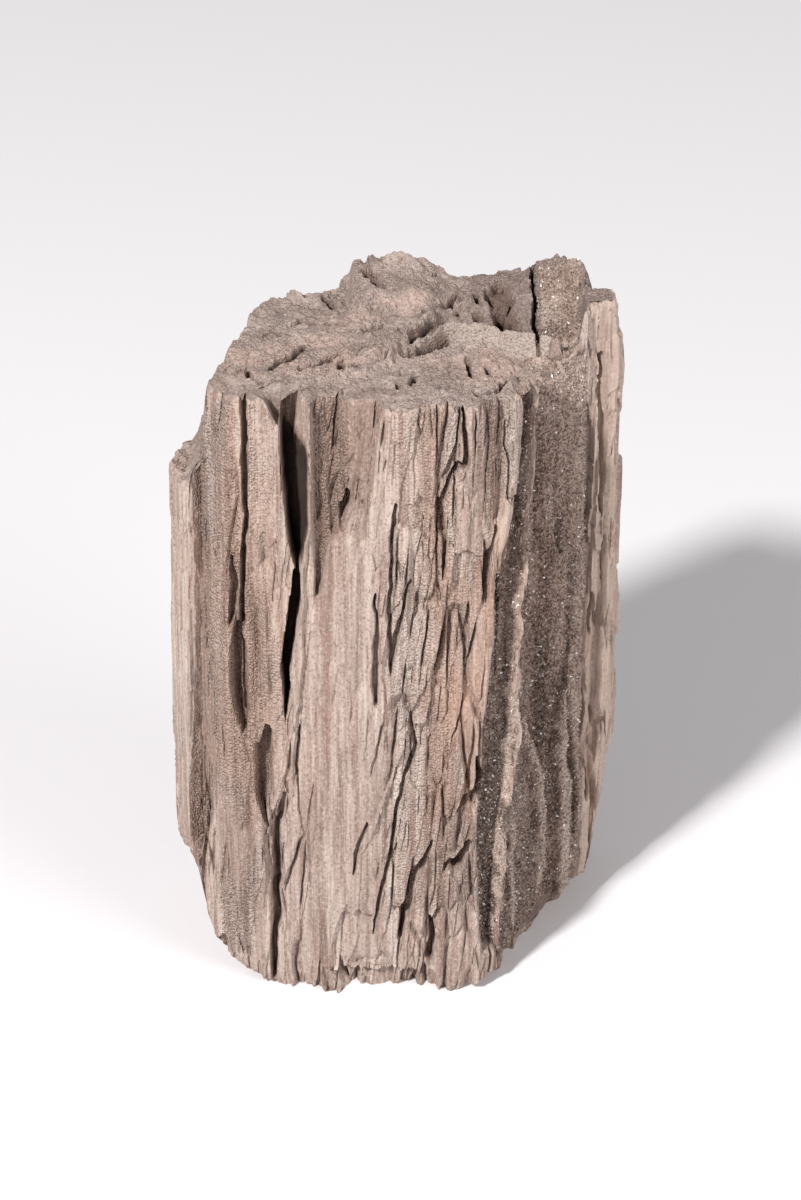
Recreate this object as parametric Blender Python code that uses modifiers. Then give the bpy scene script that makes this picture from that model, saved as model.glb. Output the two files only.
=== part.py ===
"""Petrified wood log, broken off flat at its foot, with three crusts of druse quartz.

The log is one solid. It starts as a turned billet with fine rings; each point of the billet is
moved to the log's outline, its broken top, its underside, and the splits, splinters and hollows
that run along the grain. A crust is a thin shell grown from the log's own facets, a hair
clear of them. Lengths are in millimetres, and the last step writes metres.

A place on the wall is (a, z): a is the distance round the log from the middle of its front,
positive to the right, and z is the height. A place on an end is (x, y).
"""
import bmesh
import bpy
import numpy as np

MM = 0.001

# Driving dimensions
RIM_HEIGHT = 419.0        # front edge of the broken top
PEAK_RISE = 12.0          # back right corner above the rim
BLOCK_RISE = 9.0          # broken block at the back above the left half of the top
PLANK_RISE = 20.0         # planks at the right above the rim
SHOULDER_DROP = 60.0      # broken corner at the left, below the top
SPLIT_DEPTH = 27.0        # the long open split left of the front face
CHANNEL_DEPTH = 22.0      # hollow on the right wall
CRUST_THICKNESS = 3.6
CRUST_GAP = 0.4
CRUST_FACET = 24.0        # longest edge of a crust's facets
CRUST_TAPER = 9.0         # width over which a crust thins out to its edge
CRUST_REACH = (24.0, 376.0)  # lowest and highest facets of the wall's crusts
CRUST_MARGIN = 1.5        # from a hollow's edge to the middle of the crust's first facets
CENTRE = np.array([-2.8, 4.6])  # middle of the bounding box in the outline's own frame

# The billet's mesh, and the facets left on the log
COLUMNS = 420
WALL_RINGS = 110
END_RINGS = 40
LOG_FACETS = 7000
FOOT_SNAP = 0.6           # points of the foot this low lie on the ground

# Outline at mid height, from the front middle round to the right
OUTLINE = [(0, -89), (34, -89), (58, -82), (74, -62), (88, -37), (101, -15), (110, 1), (122, 9),
           (132, 19), (134, 44), (131, 70), (98, 92), (46, 98), (-8, 97), (-58, 88), (-102, 62), (-132, 26),
           (-143, -12), (-134, -45), (-108, -69), (-68, -83), (-34, -88)]
# Underside: height of the broken foot across the log's width
FOOT = [(-147, 84), (-138, 77), (-127, 74), (-123, 42), (-118, 28), (-110, 16), (-98, 7),
        (-88, 4), (-80, 2), (-76, 0), (82, 0), (90, 9), (96, 17), (105, 20), (115, 22), (121, 24),
        (125, 48), (128, 82), (134, 90), (140, 102)]

# Cuts along the grain: depth, then (a, z, half width) from the top down
CUTS = [
    (SPLIT_DEPTH, [(-61, 309, 2), (-62.5, 292, 3.2), (-65.6, 268, 3.8), (-67.8, 247, 3.5),
                   (-69.6, 226, 2.8), (-70.8, 203, 1)]),
    (12, [(-92, 422, 2.2), (-92.4, 382, 2.3), (-93.3, 356, 2.4), (-93, 330, 2),
          (-95.2, 300, 2.4), (-96, 275, 2.6), (-97, 262, 1.2)]),
    (9, [(-102, 312, 1.5), (-102, 290, 3), (-103, 266, 2.4)]),
    (13, [(-99, 266, 2), (-100, 240, 7), (-100, 205, 7), (-98, 187, 2)]),
    (13, [(-80, 195, 1.5), (-84, 180, 7.5), (-85, 150, 7), (-85, 135, 3.5), (-84, 117, 1)]),
    (8, [(-72, 150, 1), (-74, 133, 4), (-75, 125, 2)]),
    (13, [(-77, 127, 1.5), (-78, 110, 3), (-78, 96, 3.6), (-79, 58, 3.8), (-81, 25, 3), (-82, 6, 2)]),
    (9, [(-137, 385, 5), (-138, 372, 4), (-136, 350, 1.5)]),
    (8, [(-14, 297, 0.8), (-14.4, 276, 1.8), (-14, 262, 2.4), (-14.5, 232, 3.2), (-14, 214, 1.6)]),
    (8, [(5, 308, 0.8), (0, 281, 1.8), (-4, 258, 2), (-6.3, 238, 0.8)]),
    (8, [(10, 186, 1), (2, 162, 1.8), (-2.4, 137, 2), (-6.5, 112, 1.8), (-12.8, 77, 1.8), (-17, 44, 0.8)]),
    (6, [(-21, 130, 0.8), (-27, 107, 1.8), (-29, 88, 0.8)]),
    (8, [(-2, 354, 1), (-4, 338, 2), (-6, 310, 1.4), (-6.3, 278, 1.8), (-6.3, 240, 0.8)]),
    (9, [(36, 414, 1), (37.7, 383, 2.4), (30, 374, 2.2), (25, 360, 2), (22.5, 350, 2.8),
         (26.9, 325, 2.2), (25.2, 306, 1)]),
    (8, [(6.8, 210, 0.8), (9.8, 187, 1.8), (3, 164, 1.4)]),
    (9, [(56, 336, 1), (52.5, 322, 3), (50.5, 304, 3), (49, 292, 1.4)]),
    (10, [(20, 118, 1), (15, 100, 2.4), (8, 85, 3.2), (2, 57, 3.6), (-1, 38, 1.8)]),
    (14, [(44, 116, 2), (37, 98, 5), (28, 90, 3)]),
    (13, [(17.5, 57, 1), (20.5, 40, 3.2), (18.6, 22, 3)]),
    (10, [(47, 180, 1), (49, 162, 3.2), (45, 146, 3.8), (37, 137, 2)]),
    (9, [(169.5, 404, 2), (172, 372, 3), (173, 340, 3.4), (172.5, 298, 1.6)]),
    (9, [(168.5, 242, 1.2), (168, 224, 2.6), (167, 207, 1)]),
    (8, [(168.5, 107, 1), (169, 96, 2), (169, 84, 1)]),
    (16, [(232, 405, 5), (236, 330, 6), (240, 262, 4), (243, 214, 1.5)]),
    (12, [(262, 250, 2), (268, 170, 5), (272, 92, 5), (275, 44, 2.5)]),
    (10, [(300, 420, 3.5), (305, 352, 4), (309, 302, 2)]),
    (22, [(338, 300, 2.5), (342, 240, 6.5), (346, 150, 7), (350, 66, 4), (351, 20, 2)]),
    (12, [(-362, 404, 4), (-358, 322, 5), (-352, 262, 3)]),
    (14, [(-322, 240, 3), (-318, 170, 5.5), (-314, 84, 5), (-312, 36, 2.5)]),
    (12, [(-284, 366, 4.5), (-280, 290, 5.5), (-275, 206, 3)]),
    (10, [(-246, 300, 3), (-243, 214, 4.5), (-240, 130, 3)]),
    (9, [(-206, 342, 4), (-204, 268, 4), (-200, 190, 2.5)]),
    (8, [(-176, 330, 2.5), (-178, 240, 3.6), (-181, 160, 2.5)]),
]

# The main split: (z, left a, right a) from the top down
SPLIT = [(440, -75, -53), (424, -74, -53), (404, -71.5, -53.5), (384, -70.8, -54.5),
         (360, -70.3, -54.8), (338, -67.7, -55.3), (322, -64.6, -57.4), (309, -61.5, -60)]

# Sheets that have split away: depth, edge blur, then (z, left a, right a) from the top down
SHEETS = [
    (8, 1.4, [(440, -52, -9), (420, -52, -9.5), (398, -52, -12.8), (378, -52, -15.8),
              (362, -52, -16.8), (356, -52, -23.7), (342, -52, -34.5), (324, -51, -43.6),
              (290, -51, -49)]),
    (3, 1.4, [(430, -44, -31), (397, -43, -33), (370, -42, -35), (352, -41, -38)]),
    (6, 2.0, [(396, -134, -122), (300, -131, -119), (250, -133, -122), (195, -136, -120),
              (123, -144, -122), (86, -141, -130)]),
    (3, 1.4, [(440, 49, 64), (350, 49, 62), (340, 52, 58)]),
    (3, 1.6, [(356, 4, 22), (318, 6, 24), (262, 4, 22), (214, 2, 14), (196, 4, 8)]),
    (4, 1.4, [(60, -37, -17), (50, -40, -17), (34, -42, -15), (22, -42, -10), (16, -44, -36)]),
    (7, 2.0, [(15, -44, 22), (9, -40, 26), (-5, -30, 20)]),
    (4, 1.6, [(270, 167, 176), (170, 166, 175), (120, 166, 172)]),
    (7, 2.0, [(380, 198, 226), (250, 196, 224), (190, 202, 218)]),
    (8, 2.0, [(425, 318, 352), (330, 314, 348), (260, 322, 340)]),
    (7, 2.0, [(180, -372, -336), (90, -374, -330), (30, -368, -336)]),
    (6, 2.0, [(330, -312, -292), (180, -308, -288), (120, -304, -296)]),
    (8, 2.0, [(360, -272, -252), (240, -270, -246), (170, -264, -252)]),
    (5, 1.6, [(250, -232, -208), (130, -232, -212), (84, -226, -216)]),
]

# Blades and ribs that stand proud: rise, flat share, then (a, z, half width) from the top down
RIBS = [
    (4, 0.3, [(-52.3, 390, 1.4), (-51, 368, 1.8), (-53, 340, 2.2), (-56, 329, 2.4),
              (-58, 306, 2.4), (-59.5, 274, 2.2), (-60, 240, 2), (-64.4, 205, 2), (-67, 168, 1.4)]),
    (4, 0.3, [(-66, 200, 1.2), (-70.6, 172, 2), (-75, 152, 2), (-81.6, 131, 2), (-84, 112, 1)]),
    (4, 0.4, [(-97, 306, 1), (-96.5, 287, 1.8), (-99, 262, 1.6), (-99, 232, 1.4), (-99, 200, 0.8)]),
    (3, 0.3, [(-85, 330, 3.5), (-84, 270, 4), (-82, 222, 3)]),
    (3.5, 0.3, [(97, 412, 2.2), (92.5, 370, 2.2), (86.5, 330, 2.2), (83, 302, 2.2), (79, 274, 2.2),
                (78, 235, 2.2), (77, 212, 2.4), (80, 180, 3.2), (78, 158, 3.4), (76, 138, 2.8),
                (69, 118, 2.6), (65, 82, 2.6), (63, 45, 2.6), (64, 12, 2.6)]),
    (5, 0.6, [(64, 350, 4), (61, 330, 7), (58, 308, 5.5)]),
    (4, 0.6, [(71, 414, 5), (70, 380, 6), (69, 358, 4.6)]),
    (4, 0.2, [(98, 112, 3), (98, 95, 5.5), (89, 76, 5), (89, 30, 5)]),
    (6, 0.2, [(112, 168, 3), (120, 146, 4.4), (128, 125, 5), (129, 98, 5.5), (128, 72, 5), (122, 42, 5)]),
    (6, 0.3, [(148, 175, 2), (147, 145, 4.6), (146, 124, 5.5), (150, 94, 6.5), (149, 65, 7.5),
              (146, 32, 8), (142, 14, 7)]),
    (4, 0.4, [(181.5, 415, 5), (180, 300, 5), (178, 150, 5)]),
    (6, 0.2, [(286, 300, 6), (290, 180, 7), (292, 60, 5)]),
    (6, 0.2, [(-336, 400, 6), (-338, 300, 7), (-334, 230, 4)]),
    (5, 0.2, [(-262, 170, 5), (-258, 100, 6), (-256, 74, 4)]),
]

# Druse hollows on the wall: (z, left a, right a) from the top down
NARROW_HOLLOW = [(412, 80, 95.5), (370, 75, 91), (350, 74, 88), (330, 70, 85), (303, 65, 81.5),
                 (290, 60, 80), (254, 58, 78), (235, 56, 77.5), (212, 54, 76.5), (194, 51, 80),
                 (180, 51, 82.5), (158, 51, 80), (146, 49, 77), (118, 48, 69), (82, 50, 64.5),
                 (45, 51, 62.5), (30, 53, 61)]
BROAD_HOLLOW = [(412, 100, 158), (370, 95.5, 160.5), (330, 89.5, 162), (302, 86, 162.5), (274, 82, 162.5),
                (254, 82, 163), (235, 81, 163), (212, 80, 163), (180, 86, 162), (158, 83, 162),
                (138, 80, 162), (118, 73, 163), (82, 69, 165), (45, 67, 165), (20, 68, 163),
                (9, 70, 158)]

# Druse hollow on the top: (y, left x, right x) from the back forward
TOP_HOLLOW = [(90, 85.5, 106), (74, 85.5, 110), (50, 85.5, 108), (20, 86, 107), (2, 86.5, 105),
              (-5, 87, 101)]

# Left and back edges of the top, beyond which the corner is broken down: (y, x)
SHOULDER_EDGE = [(-90, -110), (-45, -110), (28, -91), (49, -85), (58, -72), (63, -50),
                 (70, -36), (100, -33)]

# Crest of the ledge across the top: (x, y)
CREST = [(-6, -31), (12, -9), (27, 11), (36, 11), (58, 3), (79, -5), (109, -12)]

# Pits and cracks of the top: depth, then (x, y, half width)
TOP_CUTS = [
    (9, [(-67, 16, 1.6), (-60, 21, 2.4), (-50, 21.5, 2.4), (-38, 21, 2.8), (-32, 20, 2)]),
    (11, [(-20, 12, 4.4), (-14, 17, 3.4), (-7, 23, 1.4)]),
    (10, [(-29, -16, 3.4), (-20, -11, 2.8), (-11, -6, 1.2)]),
    (11, [(-77, -42, 1.6), (-69, -29, 4.6), (-62, -18, 3.6), (-56, -7, 1.2)]),
    (7, [(-60, -41, 1.2), (-49, -32, 2.6), (-42, -24, 3), (-36, -22, 2)]),
    (9, [(-34, -38, 3), (-35, -28, 2.6)]),
    (8, [(-27, -34, 3.2), (-22, -36, 2.6)]),
    (10, [(4, -5, 1.4), (10, 4, 3.2), (19, 17, 3.2), (24, 26, 1.2)]),
    (7, [(22, 42, 1.2), (28, 53, 2.6), (35, 65, 1.2)]),
    (15, [(-4, -24, 3.4), (5, -19, 5.5), (15, -10, 7), (23, -1, 7), (27, 5, 3.4)]),
    (9, [(15, 36, 3), (19, 34, 2.4)]),
    (12, [(24, 44, 2.8), (29, 47, 4.2), (34, 46, 2.8)]),
    (5, [(60, 74, 6), (64, 30, 11)]),
    (8, [(46, 64, 2), (48, 56, 2.8)]),
    (10, [(47, 46, 3.2), (47, 39, 3.8)]),
    (9, [(54, 66, 2.8), (55, 60, 3.2)]),
    (12, [(61, 50, 3.6), (60, 40, 4.2)]),
    (13, [(61, 32, 4.6), (65, 26, 4.4)]),
    (8, [(67, 56, 2.8), (66, 50, 2.4)]),
    (10, [(67, 40, 3.2), (71, 33, 3.8)]),
    (20, [(82, 96, 1.2), (81, 70, 1.6), (81.5, 40, 2.2), (83, 14, 2.6), (83, 9, 2)]),
    (6, [(80, -2, 0.8), (81.5, -8, 1.1), (84, -14, 1.1), (88, -22, 1.6), (90, -30, 1)]),
    (5, [(18, -41, 1.6), (28, -46, 2.2)]),
    (7, [(39, -33, 2.2), (42, -47, 2.6)]),
    (7, [(50, -38, 2.2), (55, -46, 2.8), (60, -48, 1.6)]),
    (5, [(62, -52, 1.6), (57, -67, 2), (49, -73, 1.4)]),
    (8, [(44, -69, 2.6), (46, -71, 2.6)]),
    (5, [(5, -56, 1.6), (9, -48, 1.2)]),
    (5, [(-9, -50, 1.2), (-2, -61, 2)]),
    (6, [(-20, -65, 2), (-11, -64, 2.4), (-4, -64, 1.2)]),
    (9, [(-20, 76, 4.4), (-12, 55, 3.4)]),
    (9, [(-47, 58, 3.2), (-40, 41, 2.4)]),
    (8, [(12, 72, 2.4), (24, 78, 2)]),
    (7, [(-84, 4, 2), (-74, 8, 2.6), (-66, 2, 1.4)]),
    (7, [(-92, -40, 1.4), (-86, -52, 2.4), (-80, -56, 1.4)]),
]
TOP_RIDGES = [
    (5, [(-10, -26, 2.4), (-3, -16, 3.6), (9, 9, 3.8), (21, 31, 4), (34, 48, 3.4), (45, 58, 2)]),
    (6, [(-6, -31, 2.6), (12, -9, 3.8), (27, 11, 4.4), (36, 11, 4.4), (58, 3, 4), (79, -5, 3.4),
         (109, -12, 2.4)]),
    (4, [(-7, 88, 4), (2, 89, 5), (10, 80, 4)]),
    (11, [(106, 70, 6), (111, 64, 8), (117, 55, 7)]),
    (4, [(-73, 62, 4), (-62, 56, 4)]),
    (4, [(30, -30, 3), (52, -34, 3.4), (66, -50, 3.4), (64, -64, 3)]),
    (3, [(-60, -60, 6), (-20, -44, 5), (-6, -31, 4)]),
]


def smooth(low, high, x):
    """0 below low, 1 above high, with an easy curve between them"""
    t = np.clip((x - low) / (high - low), 0.0, 1.0)
    return t * t * (3.0 - 2.0 * t)


def walk_outline(steps=80, samples=4000):
    """the closed outline as points at equal distances, with its inward directions"""
    here = np.array(OUTLINE, float)
    before, after, beyond = (np.roll(here, shift, 0) for shift in (1, -1, -2))
    t = (np.arange(steps) / steps)[:, None, None]
    curve = 0.5 * (2 * here + (after - before) * t
                   + (2 * before - 5 * here + 4 * after - beyond) * t ** 2
                   + (3 * here - before - 3 * after + beyond) * t ** 3)
    curve = curve.transpose(1, 0, 2).reshape(-1, 2)
    curve = np.vstack([curve, curve[:1]])
    along = np.concatenate([[0], np.cumsum(np.hypot(*np.diff(curve, axis=0).T))])
    place = np.linspace(0, along[-1], samples, endpoint=False)
    points = np.stack([np.interp(place, along, curve[:, i]) for i in (0, 1)], 1)
    tangent = np.roll(points, -1, 0) - np.roll(points, 1, 0)
    tangent /= np.hypot(*tangent.T)[:, None]
    # cuts run square to the bark, turned straight back where they face the front
    inward = np.stack([-tangent[:, 1], tangent[:, 0]], 1)
    inward[:, 0] -= 0.22 * smooth(-20, -50, points[:, 0]) * smooth(0.3, 0.9, inward[:, 1])
    inward[:, 1] += 0.9 * smooth(0, 1, inward[:, 1])
    inward /= np.hypot(*inward.T)[:, None]
    return points, inward, along[-1]


EDGE, INWARD, GIRTH = walk_outline()


def at(table, a):
    """a table of the outline read at places a"""
    spot = (a / GIRTH % 1.0) * len(table)
    low = np.floor(spot).astype(int)
    part = (spot - low)[:, None]
    return table[low % len(table)] * (1 - part) + table[(low + 1) % len(table)] * part


def noise(u, v, seed, columns=256):
    """smooth random numbers, 0 to 1, on a lattice that closes after a number of columns"""
    table = np.random.default_rng(seed).random((256, columns))
    i, j = np.floor(u).astype(int), np.floor(v).astype(int)
    s, t = smooth(0, 1, u - i), smooth(0, 1, v - j)
    lower = table[j % 256, i % columns] * (1 - s) + table[j % 256, (i + 1) % columns] * s
    upper = table[(j + 1) % 256, i % columns] * (1 - s) + table[(j + 1) % 256, (i + 1) % columns] * s
    return lower * (1 - t) + upper * t


def lumps(x, y, size, seed):
    """broken-stone lumps, about -1 to 1"""
    total = 0.0
    for octave in range(3):
        scale = 2 ** octave / size
        total = total + (noise(x * scale, y * scale, seed + octave) * 2 - 1) / 2 ** octave
    return total / 1.4


def grain(a, z):
    """place along the girth, following the grain, which leans on the front face"""
    lean = 0.11 * np.exp(-((a + 15) / 75) ** 2)
    return a - lean * (z - 0.5 * RIM_HEIGHT)


def flutes(a, z, width, length, seed):
    """long ribs along the grain, -1 to 1"""
    columns = round(GIRTH / width)
    return noise(grain(a, z) / GIRTH * columns, z / length, seed, columns) * 2 - 1


def cells(u, v, columns, seed):
    """a lattice of shaken cells that closes after a number of columns: the level of the cell
    that each place is in, and how far it is from the cell's border"""
    random = np.random.default_rng(seed)
    shift = random.random((64, columns, 2))
    level = random.uniform(-1, 1, (64, columns, 2))
    nearest = np.full(u.shape, np.inf)
    second = np.full(u.shape, np.inf)
    relief = np.zeros(u.shape)
    for i in (-1, 0, 1):
        for j in (-1, 0, 1):
            column, row = np.floor(u).astype(int) + i, np.floor(v).astype(int) + j
            cell = (row % 64, column % columns)
            du = u - column - shift[cell + (0,)]
            dv = v - row - shift[cell + (1,)]
            distance = np.hypot(du, dv)
            closer = distance < nearest
            second = np.where(closer, nearest, np.minimum(second, distance))
            nearest = np.where(closer, distance, nearest)
            relief = np.where(closer, level[cell + (0,)] + 0.8 * level[cell + (1,)] * du, relief)
    return relief, second - nearest


def splinters(a, z, width, length, seed):
    """split plates with pointed ends: each one's level and tilt, about -1 to 1, and the gaps
    that gape between some of them, 0 to 1"""
    columns = round(GIRTH / width)
    level, border = cells(grain(a, z) / GIRTH * columns, z / length, columns, seed)
    busy = 0.13 * band([(330, 60, 80), (200, -20, 80), (-60, -20, 80)], a, z, 15)
    gaping = smooth(0.65 - busy, 0.80 - busy, noise(a / GIRTH * 60, z / (0.6 * length), seed + 50, 60))
    return level, smooth(0.18, 0.05, border) * gaping


def wander(a, z, amount):
    """places shaken a little, so that no split runs straight"""
    u = a / GIRTH
    across = noise(u * 90, z / 17, 71, 90) - 0.5
    return a + 2 * amount * across, z + 7 * amount * (noise(u * 200, z / 30, 73, 200) - 0.5)


def stroke(path, p, q, edge=0.5):
    """1 along a path of (p, q, half width), 0 beyond its half width"""
    mark = np.zeros(p.shape)
    for (p0, q0, w0), (p1, q1, w1) in zip(path[:-1], path[1:]):
        dp, dq = p1 - p0, q1 - q0
        reach = max(w0, w1)
        box = ((p > min(p0, p1) - reach) & (p < max(p0, p1) + reach)
               & (q > min(q0, q1) - reach) & (q < max(q0, q1) + reach))
        part = np.clip(((p[box] - p0) * dp + (q[box] - q0) * dq) / (dp * dp + dq * dq), 0, 1)
        away = np.hypot(p[box] - p0 - part * dp, q[box] - q0 - part * dq)
        mark[box] = np.maximum(mark[box], 1 - smooth(edge, 1, away / (w0 + part * (w1 - w0))))
    return mark


def band(rows, across, along, blur):
    """1 between the left and right edges given by rows of (along, left, right)"""
    rows = np.array(rows[::-1], float) if rows[0][0] > rows[-1][0] else np.array(rows, float)
    left, right = (np.interp(along, rows[:, 0], rows[:, i]) for i in (1, 2))
    inside = np.minimum(across - left, right - across)
    ends = np.minimum(along - rows[0, 0], rows[-1, 0] - along)
    return smooth(-blur, blur, np.minimum(inside, ends))


def hollow_on_wall(a, z):
    """how far each place lies inside the wall's druse hollows, 0 to 1"""
    return np.maximum(band(NARROW_HOLLOW, a, z, 1.4), band(BROAD_HOLLOW, a, z, 1.8))


def all_cuts(a, z):
    cut = np.zeros(a.shape)
    shaken = wander(a, z, 1.1)
    for amount, path in CUTS:
        cut = np.maximum(cut, amount * stroke(path, *shaken, 0.3 if amount < SPLIT_DEPTH else 0.75))
    return cut


def share_across(rows, a, z):
    """where each place lies between a left edge, 0, and a right edge, 1"""
    rows = np.array(rows[::-1], float)
    left, right = (np.interp(z, rows[:, 0], rows[:, i]) for i in (1, 2))
    return (a - left) / (right - left)


def main_split(a, z):
    """share of its depth that the main split has: steep at its left, with a sloping right wall"""
    u = share_across(SPLIT, a, z)
    return smooth(-0.02, 0.10, u) * (1 - 0.65 * np.clip(u, 0, 1)) * smooth(1.02, 0.94, u) * (z > 309)


def broad_channel(a, z):
    """share of its depth that the broad hollow has: steep at its left, shallow at its right"""
    u = share_across(BROAD_HOLLOW, a, z)
    high = smooth(330, 410, z)
    return smooth(-0.02, 0.12, u) * smooth(1.03, 0.45 - 0.2 * high, u) * smooth(-40, 150, z)


def wall_depth(a, z):
    """how far the wall lies inside the outline"""
    druse = hollow_on_wall(a, z)
    calm = np.maximum(0.75 * band([(330, -54, -16), (200, -56, -16), (20, -60, -12)], a, z, 7),
                      0.6 * band([(420, -205, -136), (60, -205, -140)], a, z, 8))
    combed = band([(440, -132, -70), (190, -130, -72), (120, -126, -92), (30, -120, -96)], a, z, 6)
    split = (1 - 0.9 * druse) * (1 - calm)
    plates = split * (1 - 0.6 * combed)
    coarse, coarse_gaps = splinters(*wander(a, z, 1.0), 25, 170, 11)
    middle, middle_gaps = splinters(*wander(a, z, 0.7), 10, 75, 12)
    depth = plates * (2.6 * coarse + 1.9 * middle + 5 * coarse_gaps + 5 * middle_gaps)
    depth += split * 0.8 * flutes(a, z, 7, 150, 13) + combed * 1.5 * flutes(a, z, 9, 400, 16)
    # the left side leans out towards the foot, and the foot tucks in at the right
    depth += 5.0 * band([(900, -260, -120), (-900, -260, -120)], a, z, 30) * (z - 120) / 300
    depth += 7.0 * band([(60, 58, 130), (-60, 58, 130)], a, z, 12) * smooth(70, 0, z)
    depth += 4.0 * band([(900, 180, 262), (-900, 180, 262)], a, z, 10) * smooth(360, 420, z)
    depth -= 2.5 * band([(230, 172, 215), (110, 172, 215)], a, z, 12)
    depth += CHANNEL_DEPTH * broad_channel(a, z) + 10 * band(NARROW_HOLLOW, a, z, 3)
    depth -= 4 * np.exp(-((a - 148) / 10) ** 4 - ((z - 287) / 16) ** 4)
    shaken = wander(a, z, 0.9)
    for amount, blur, rows in SHEETS:
        depth += amount * band(rows, *shaken, blur)
    for rise, flat, path in RIBS:
        depth -= rise * stroke(path, *shaken, flat)
    depth += druse * 0.9 * lumps(a, z, 9, 81)
    depth += 1.6 * band(BROAD_HOLLOW, a, z, 4) * flutes(a, z, 16, 110, 21)
    return depth + np.maximum(all_cuts(a, z), SPLIT_DEPTH * main_split(*shaken))


def shaken_top(x, y):
    """places on the top shaken a little, so that no pit has a plain shape"""
    return x + 2.2 * lumps(x, y, 6, 33), y + 2.2 * lumps(x, y, 6, 36)


def top_height(x, y):
    """height of the broken top"""
    height = RIM_HEIGHT + BLOCK_RISE * (smooth(-33, -28, x) * smooth(36, 4, x)
                                        * smooth(32, 50, y - 0.25 * x))
    height += PEAK_RISE * np.exp(-((x - 100) / 18) ** 2) * smooth(0, 95, y)
    # the left block's corner is broken off beside the main split
    height -= 15 * smooth(-81, -71, x) * smooth(-69.5, -70.5, x) * smooth(-60, -68, y)
    # the planks at the right stand higher, and behind them the corner is gone
    height += PLANK_RISE * smooth(107, 111, x) * smooth(40, 24, y)
    height -= 20 * smooth(33, 45, y) * smooth(111, 124, x)
    # the basin lies behind the crest of the ledge, and a hollow front of it
    ledge = y - np.interp(x, *np.array(CREST, float).T)
    basin = smooth(16, 30, x) * smooth(118, 96, x) * smooth(0, 4, ledge) * smooth(66, 30, ledge)
    front = smooth(16, 40, x) * smooth(112, 108, x) * smooth(0, -4, ledge) * smooth(-40, -12, ledge)
    height -= 8 * basin + (4 + 7 * smooth(50, 92, x)) * front
    u, v = shaken_top(x, y)
    for depth, path in TOP_CUTS:
        height -= 1.25 * depth * stroke(path, u, v, 0.5)
    for rise, path in TOP_RIDGES:
        height += rise * stroke(path, u, v, 0.1)
    # crumbled stone
    calm = 1 - 0.75 * band(TOP_HOLLOW, x, y, 4)
    height += calm * (2.0 * lumps(x * 0.8 - y * 0.6, x * 0.35 + y * 0.45, 14, 31)
                      + 1.3 * lumps(x, y, 4.5, 35))
    height -= 2 * band(TOP_HOLLOW, x, y, 4)
    height -= 11 * smooth(-120, -129, x)
    broken = smooth(0, 10, np.interp(y, *np.array(SHOULDER_EDGE, float).T) - x
                    + 3 * lumps(x, y, 11, 41))
    return height - broken * (SHOULDER_DROP + 0.10 * (y + 40) - 5 * lumps(x, y, 22, 51))


def foot_height(x, y):
    """height of the underside, flat where the log stands"""
    foot = np.interp(x, *np.array(FOOT, float).T)
    foot += 13 * smooth(36, 60, x) * smooth(-62, -84, y)
    return foot + smooth(3, 12, foot) * 3 * lumps(x, y, 18, 61)


def evaluated_mesh(thing):
    """the object's mesh as its modifiers leave it"""
    bpy.context.view_layer.update()
    ready = thing.evaluated_get(bpy.context.evaluated_depsgraph_get())
    return bpy.data.meshes.new_from_object(ready)


def turned_billet(name, columns, wall_rings, end_rings):
    """a round billet: radius 1, with its ends at z = 1 and z = 0, as one Screw-turned mesh"""
    ends = np.arange(end_rings) / end_rings
    profile = [(r, 1.0) for r in ends] + [(1.0, 1 - v) for v in np.arange(wall_rings) / wall_rings]
    profile += [(1 - r, 0.0) for r in ends] + [(0.0, 0.0)]
    mesh = bpy.data.meshes.new(name)
    mesh.from_pydata([(r, 0, z) for r, z in profile],
                     [(i, i + 1) for i in range(len(profile) - 1)], [])
    billet = bpy.data.objects.new(name, mesh)
    bpy.context.scene.collection.objects.link(billet)
    turn = billet.modifiers.new("turn", "SCREW")
    turn.steps = turn.render_steps = columns
    turn.use_merge_vertices = True
    turn.merge_threshold = 0.0001
    turned = evaluated_mesh(billet)
    bpy.data.objects.remove(billet)
    bpy.data.meshes.remove(mesh)
    return turned


def shape_log(mesh):
    """move the billet's points to the log's surface"""
    x, y, v = read_points(mesh).T
    reach = np.hypot(x, y)
    a = np.arctan2(x, -y) / (2 * np.pi) * GIRTH
    rim = at(EDGE, a)
    inward = at(INWARD, a)
    middle = EDGE.mean(0)
    # depth of the wall at the two rims, then the rims' own heights
    top_rim = rim + inward * wall_depth(a, top_height(*rim.T))[:, None]
    foot_rim = rim + inward * wall_depth(a, foot_height(*rim.T))[:, None]
    top, foot = top_height(*top_rim.T), foot_height(*foot_rim.T)
    z = foot + v * (top - foot)
    chipped = (2.2 * smooth(4, 0, top - z)
               + smooth(9, 0, z - foot) * (1.6 + 1.8 * lumps(a, z * 0.3, 8, 66)))
    wall = rim + inward * (wall_depth(a, z) + chipped)[:, None]
    # an end spreads from the middle to the wall's rim
    at_top = v > 0.5
    chip = np.where(at_top, 2.2, 1.6 + 1.8 * lumps(a, foot * 0.3, 8, 66))
    bent = np.where(at_top[:, None], top_rim, foot_rim) - rim + inward * chip[:, None]
    spread = middle + reach[:, None] * (rim - middle) + (reach ** 3)[:, None] * bent
    end_z = np.where(at_top, top_height(*spread.T), foot_height(*spread.T))
    is_end = (reach < 0.999) | (v > 0.9999) | (v < 0.0001)
    plan = np.where(is_end[:, None], spread, wall)
    write_points(mesh, np.column_stack([plan - CENTRE, np.where(is_end, end_z, z)]))


def read_points(mesh):
    points = np.empty(len(mesh.vertices) * 3)
    mesh.vertices.foreach_get("co", points)
    return points.reshape(-1, 3)


def write_points(mesh, points):
    mesh.vertices.foreach_set("co", points.ravel())
    mesh.update()


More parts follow.
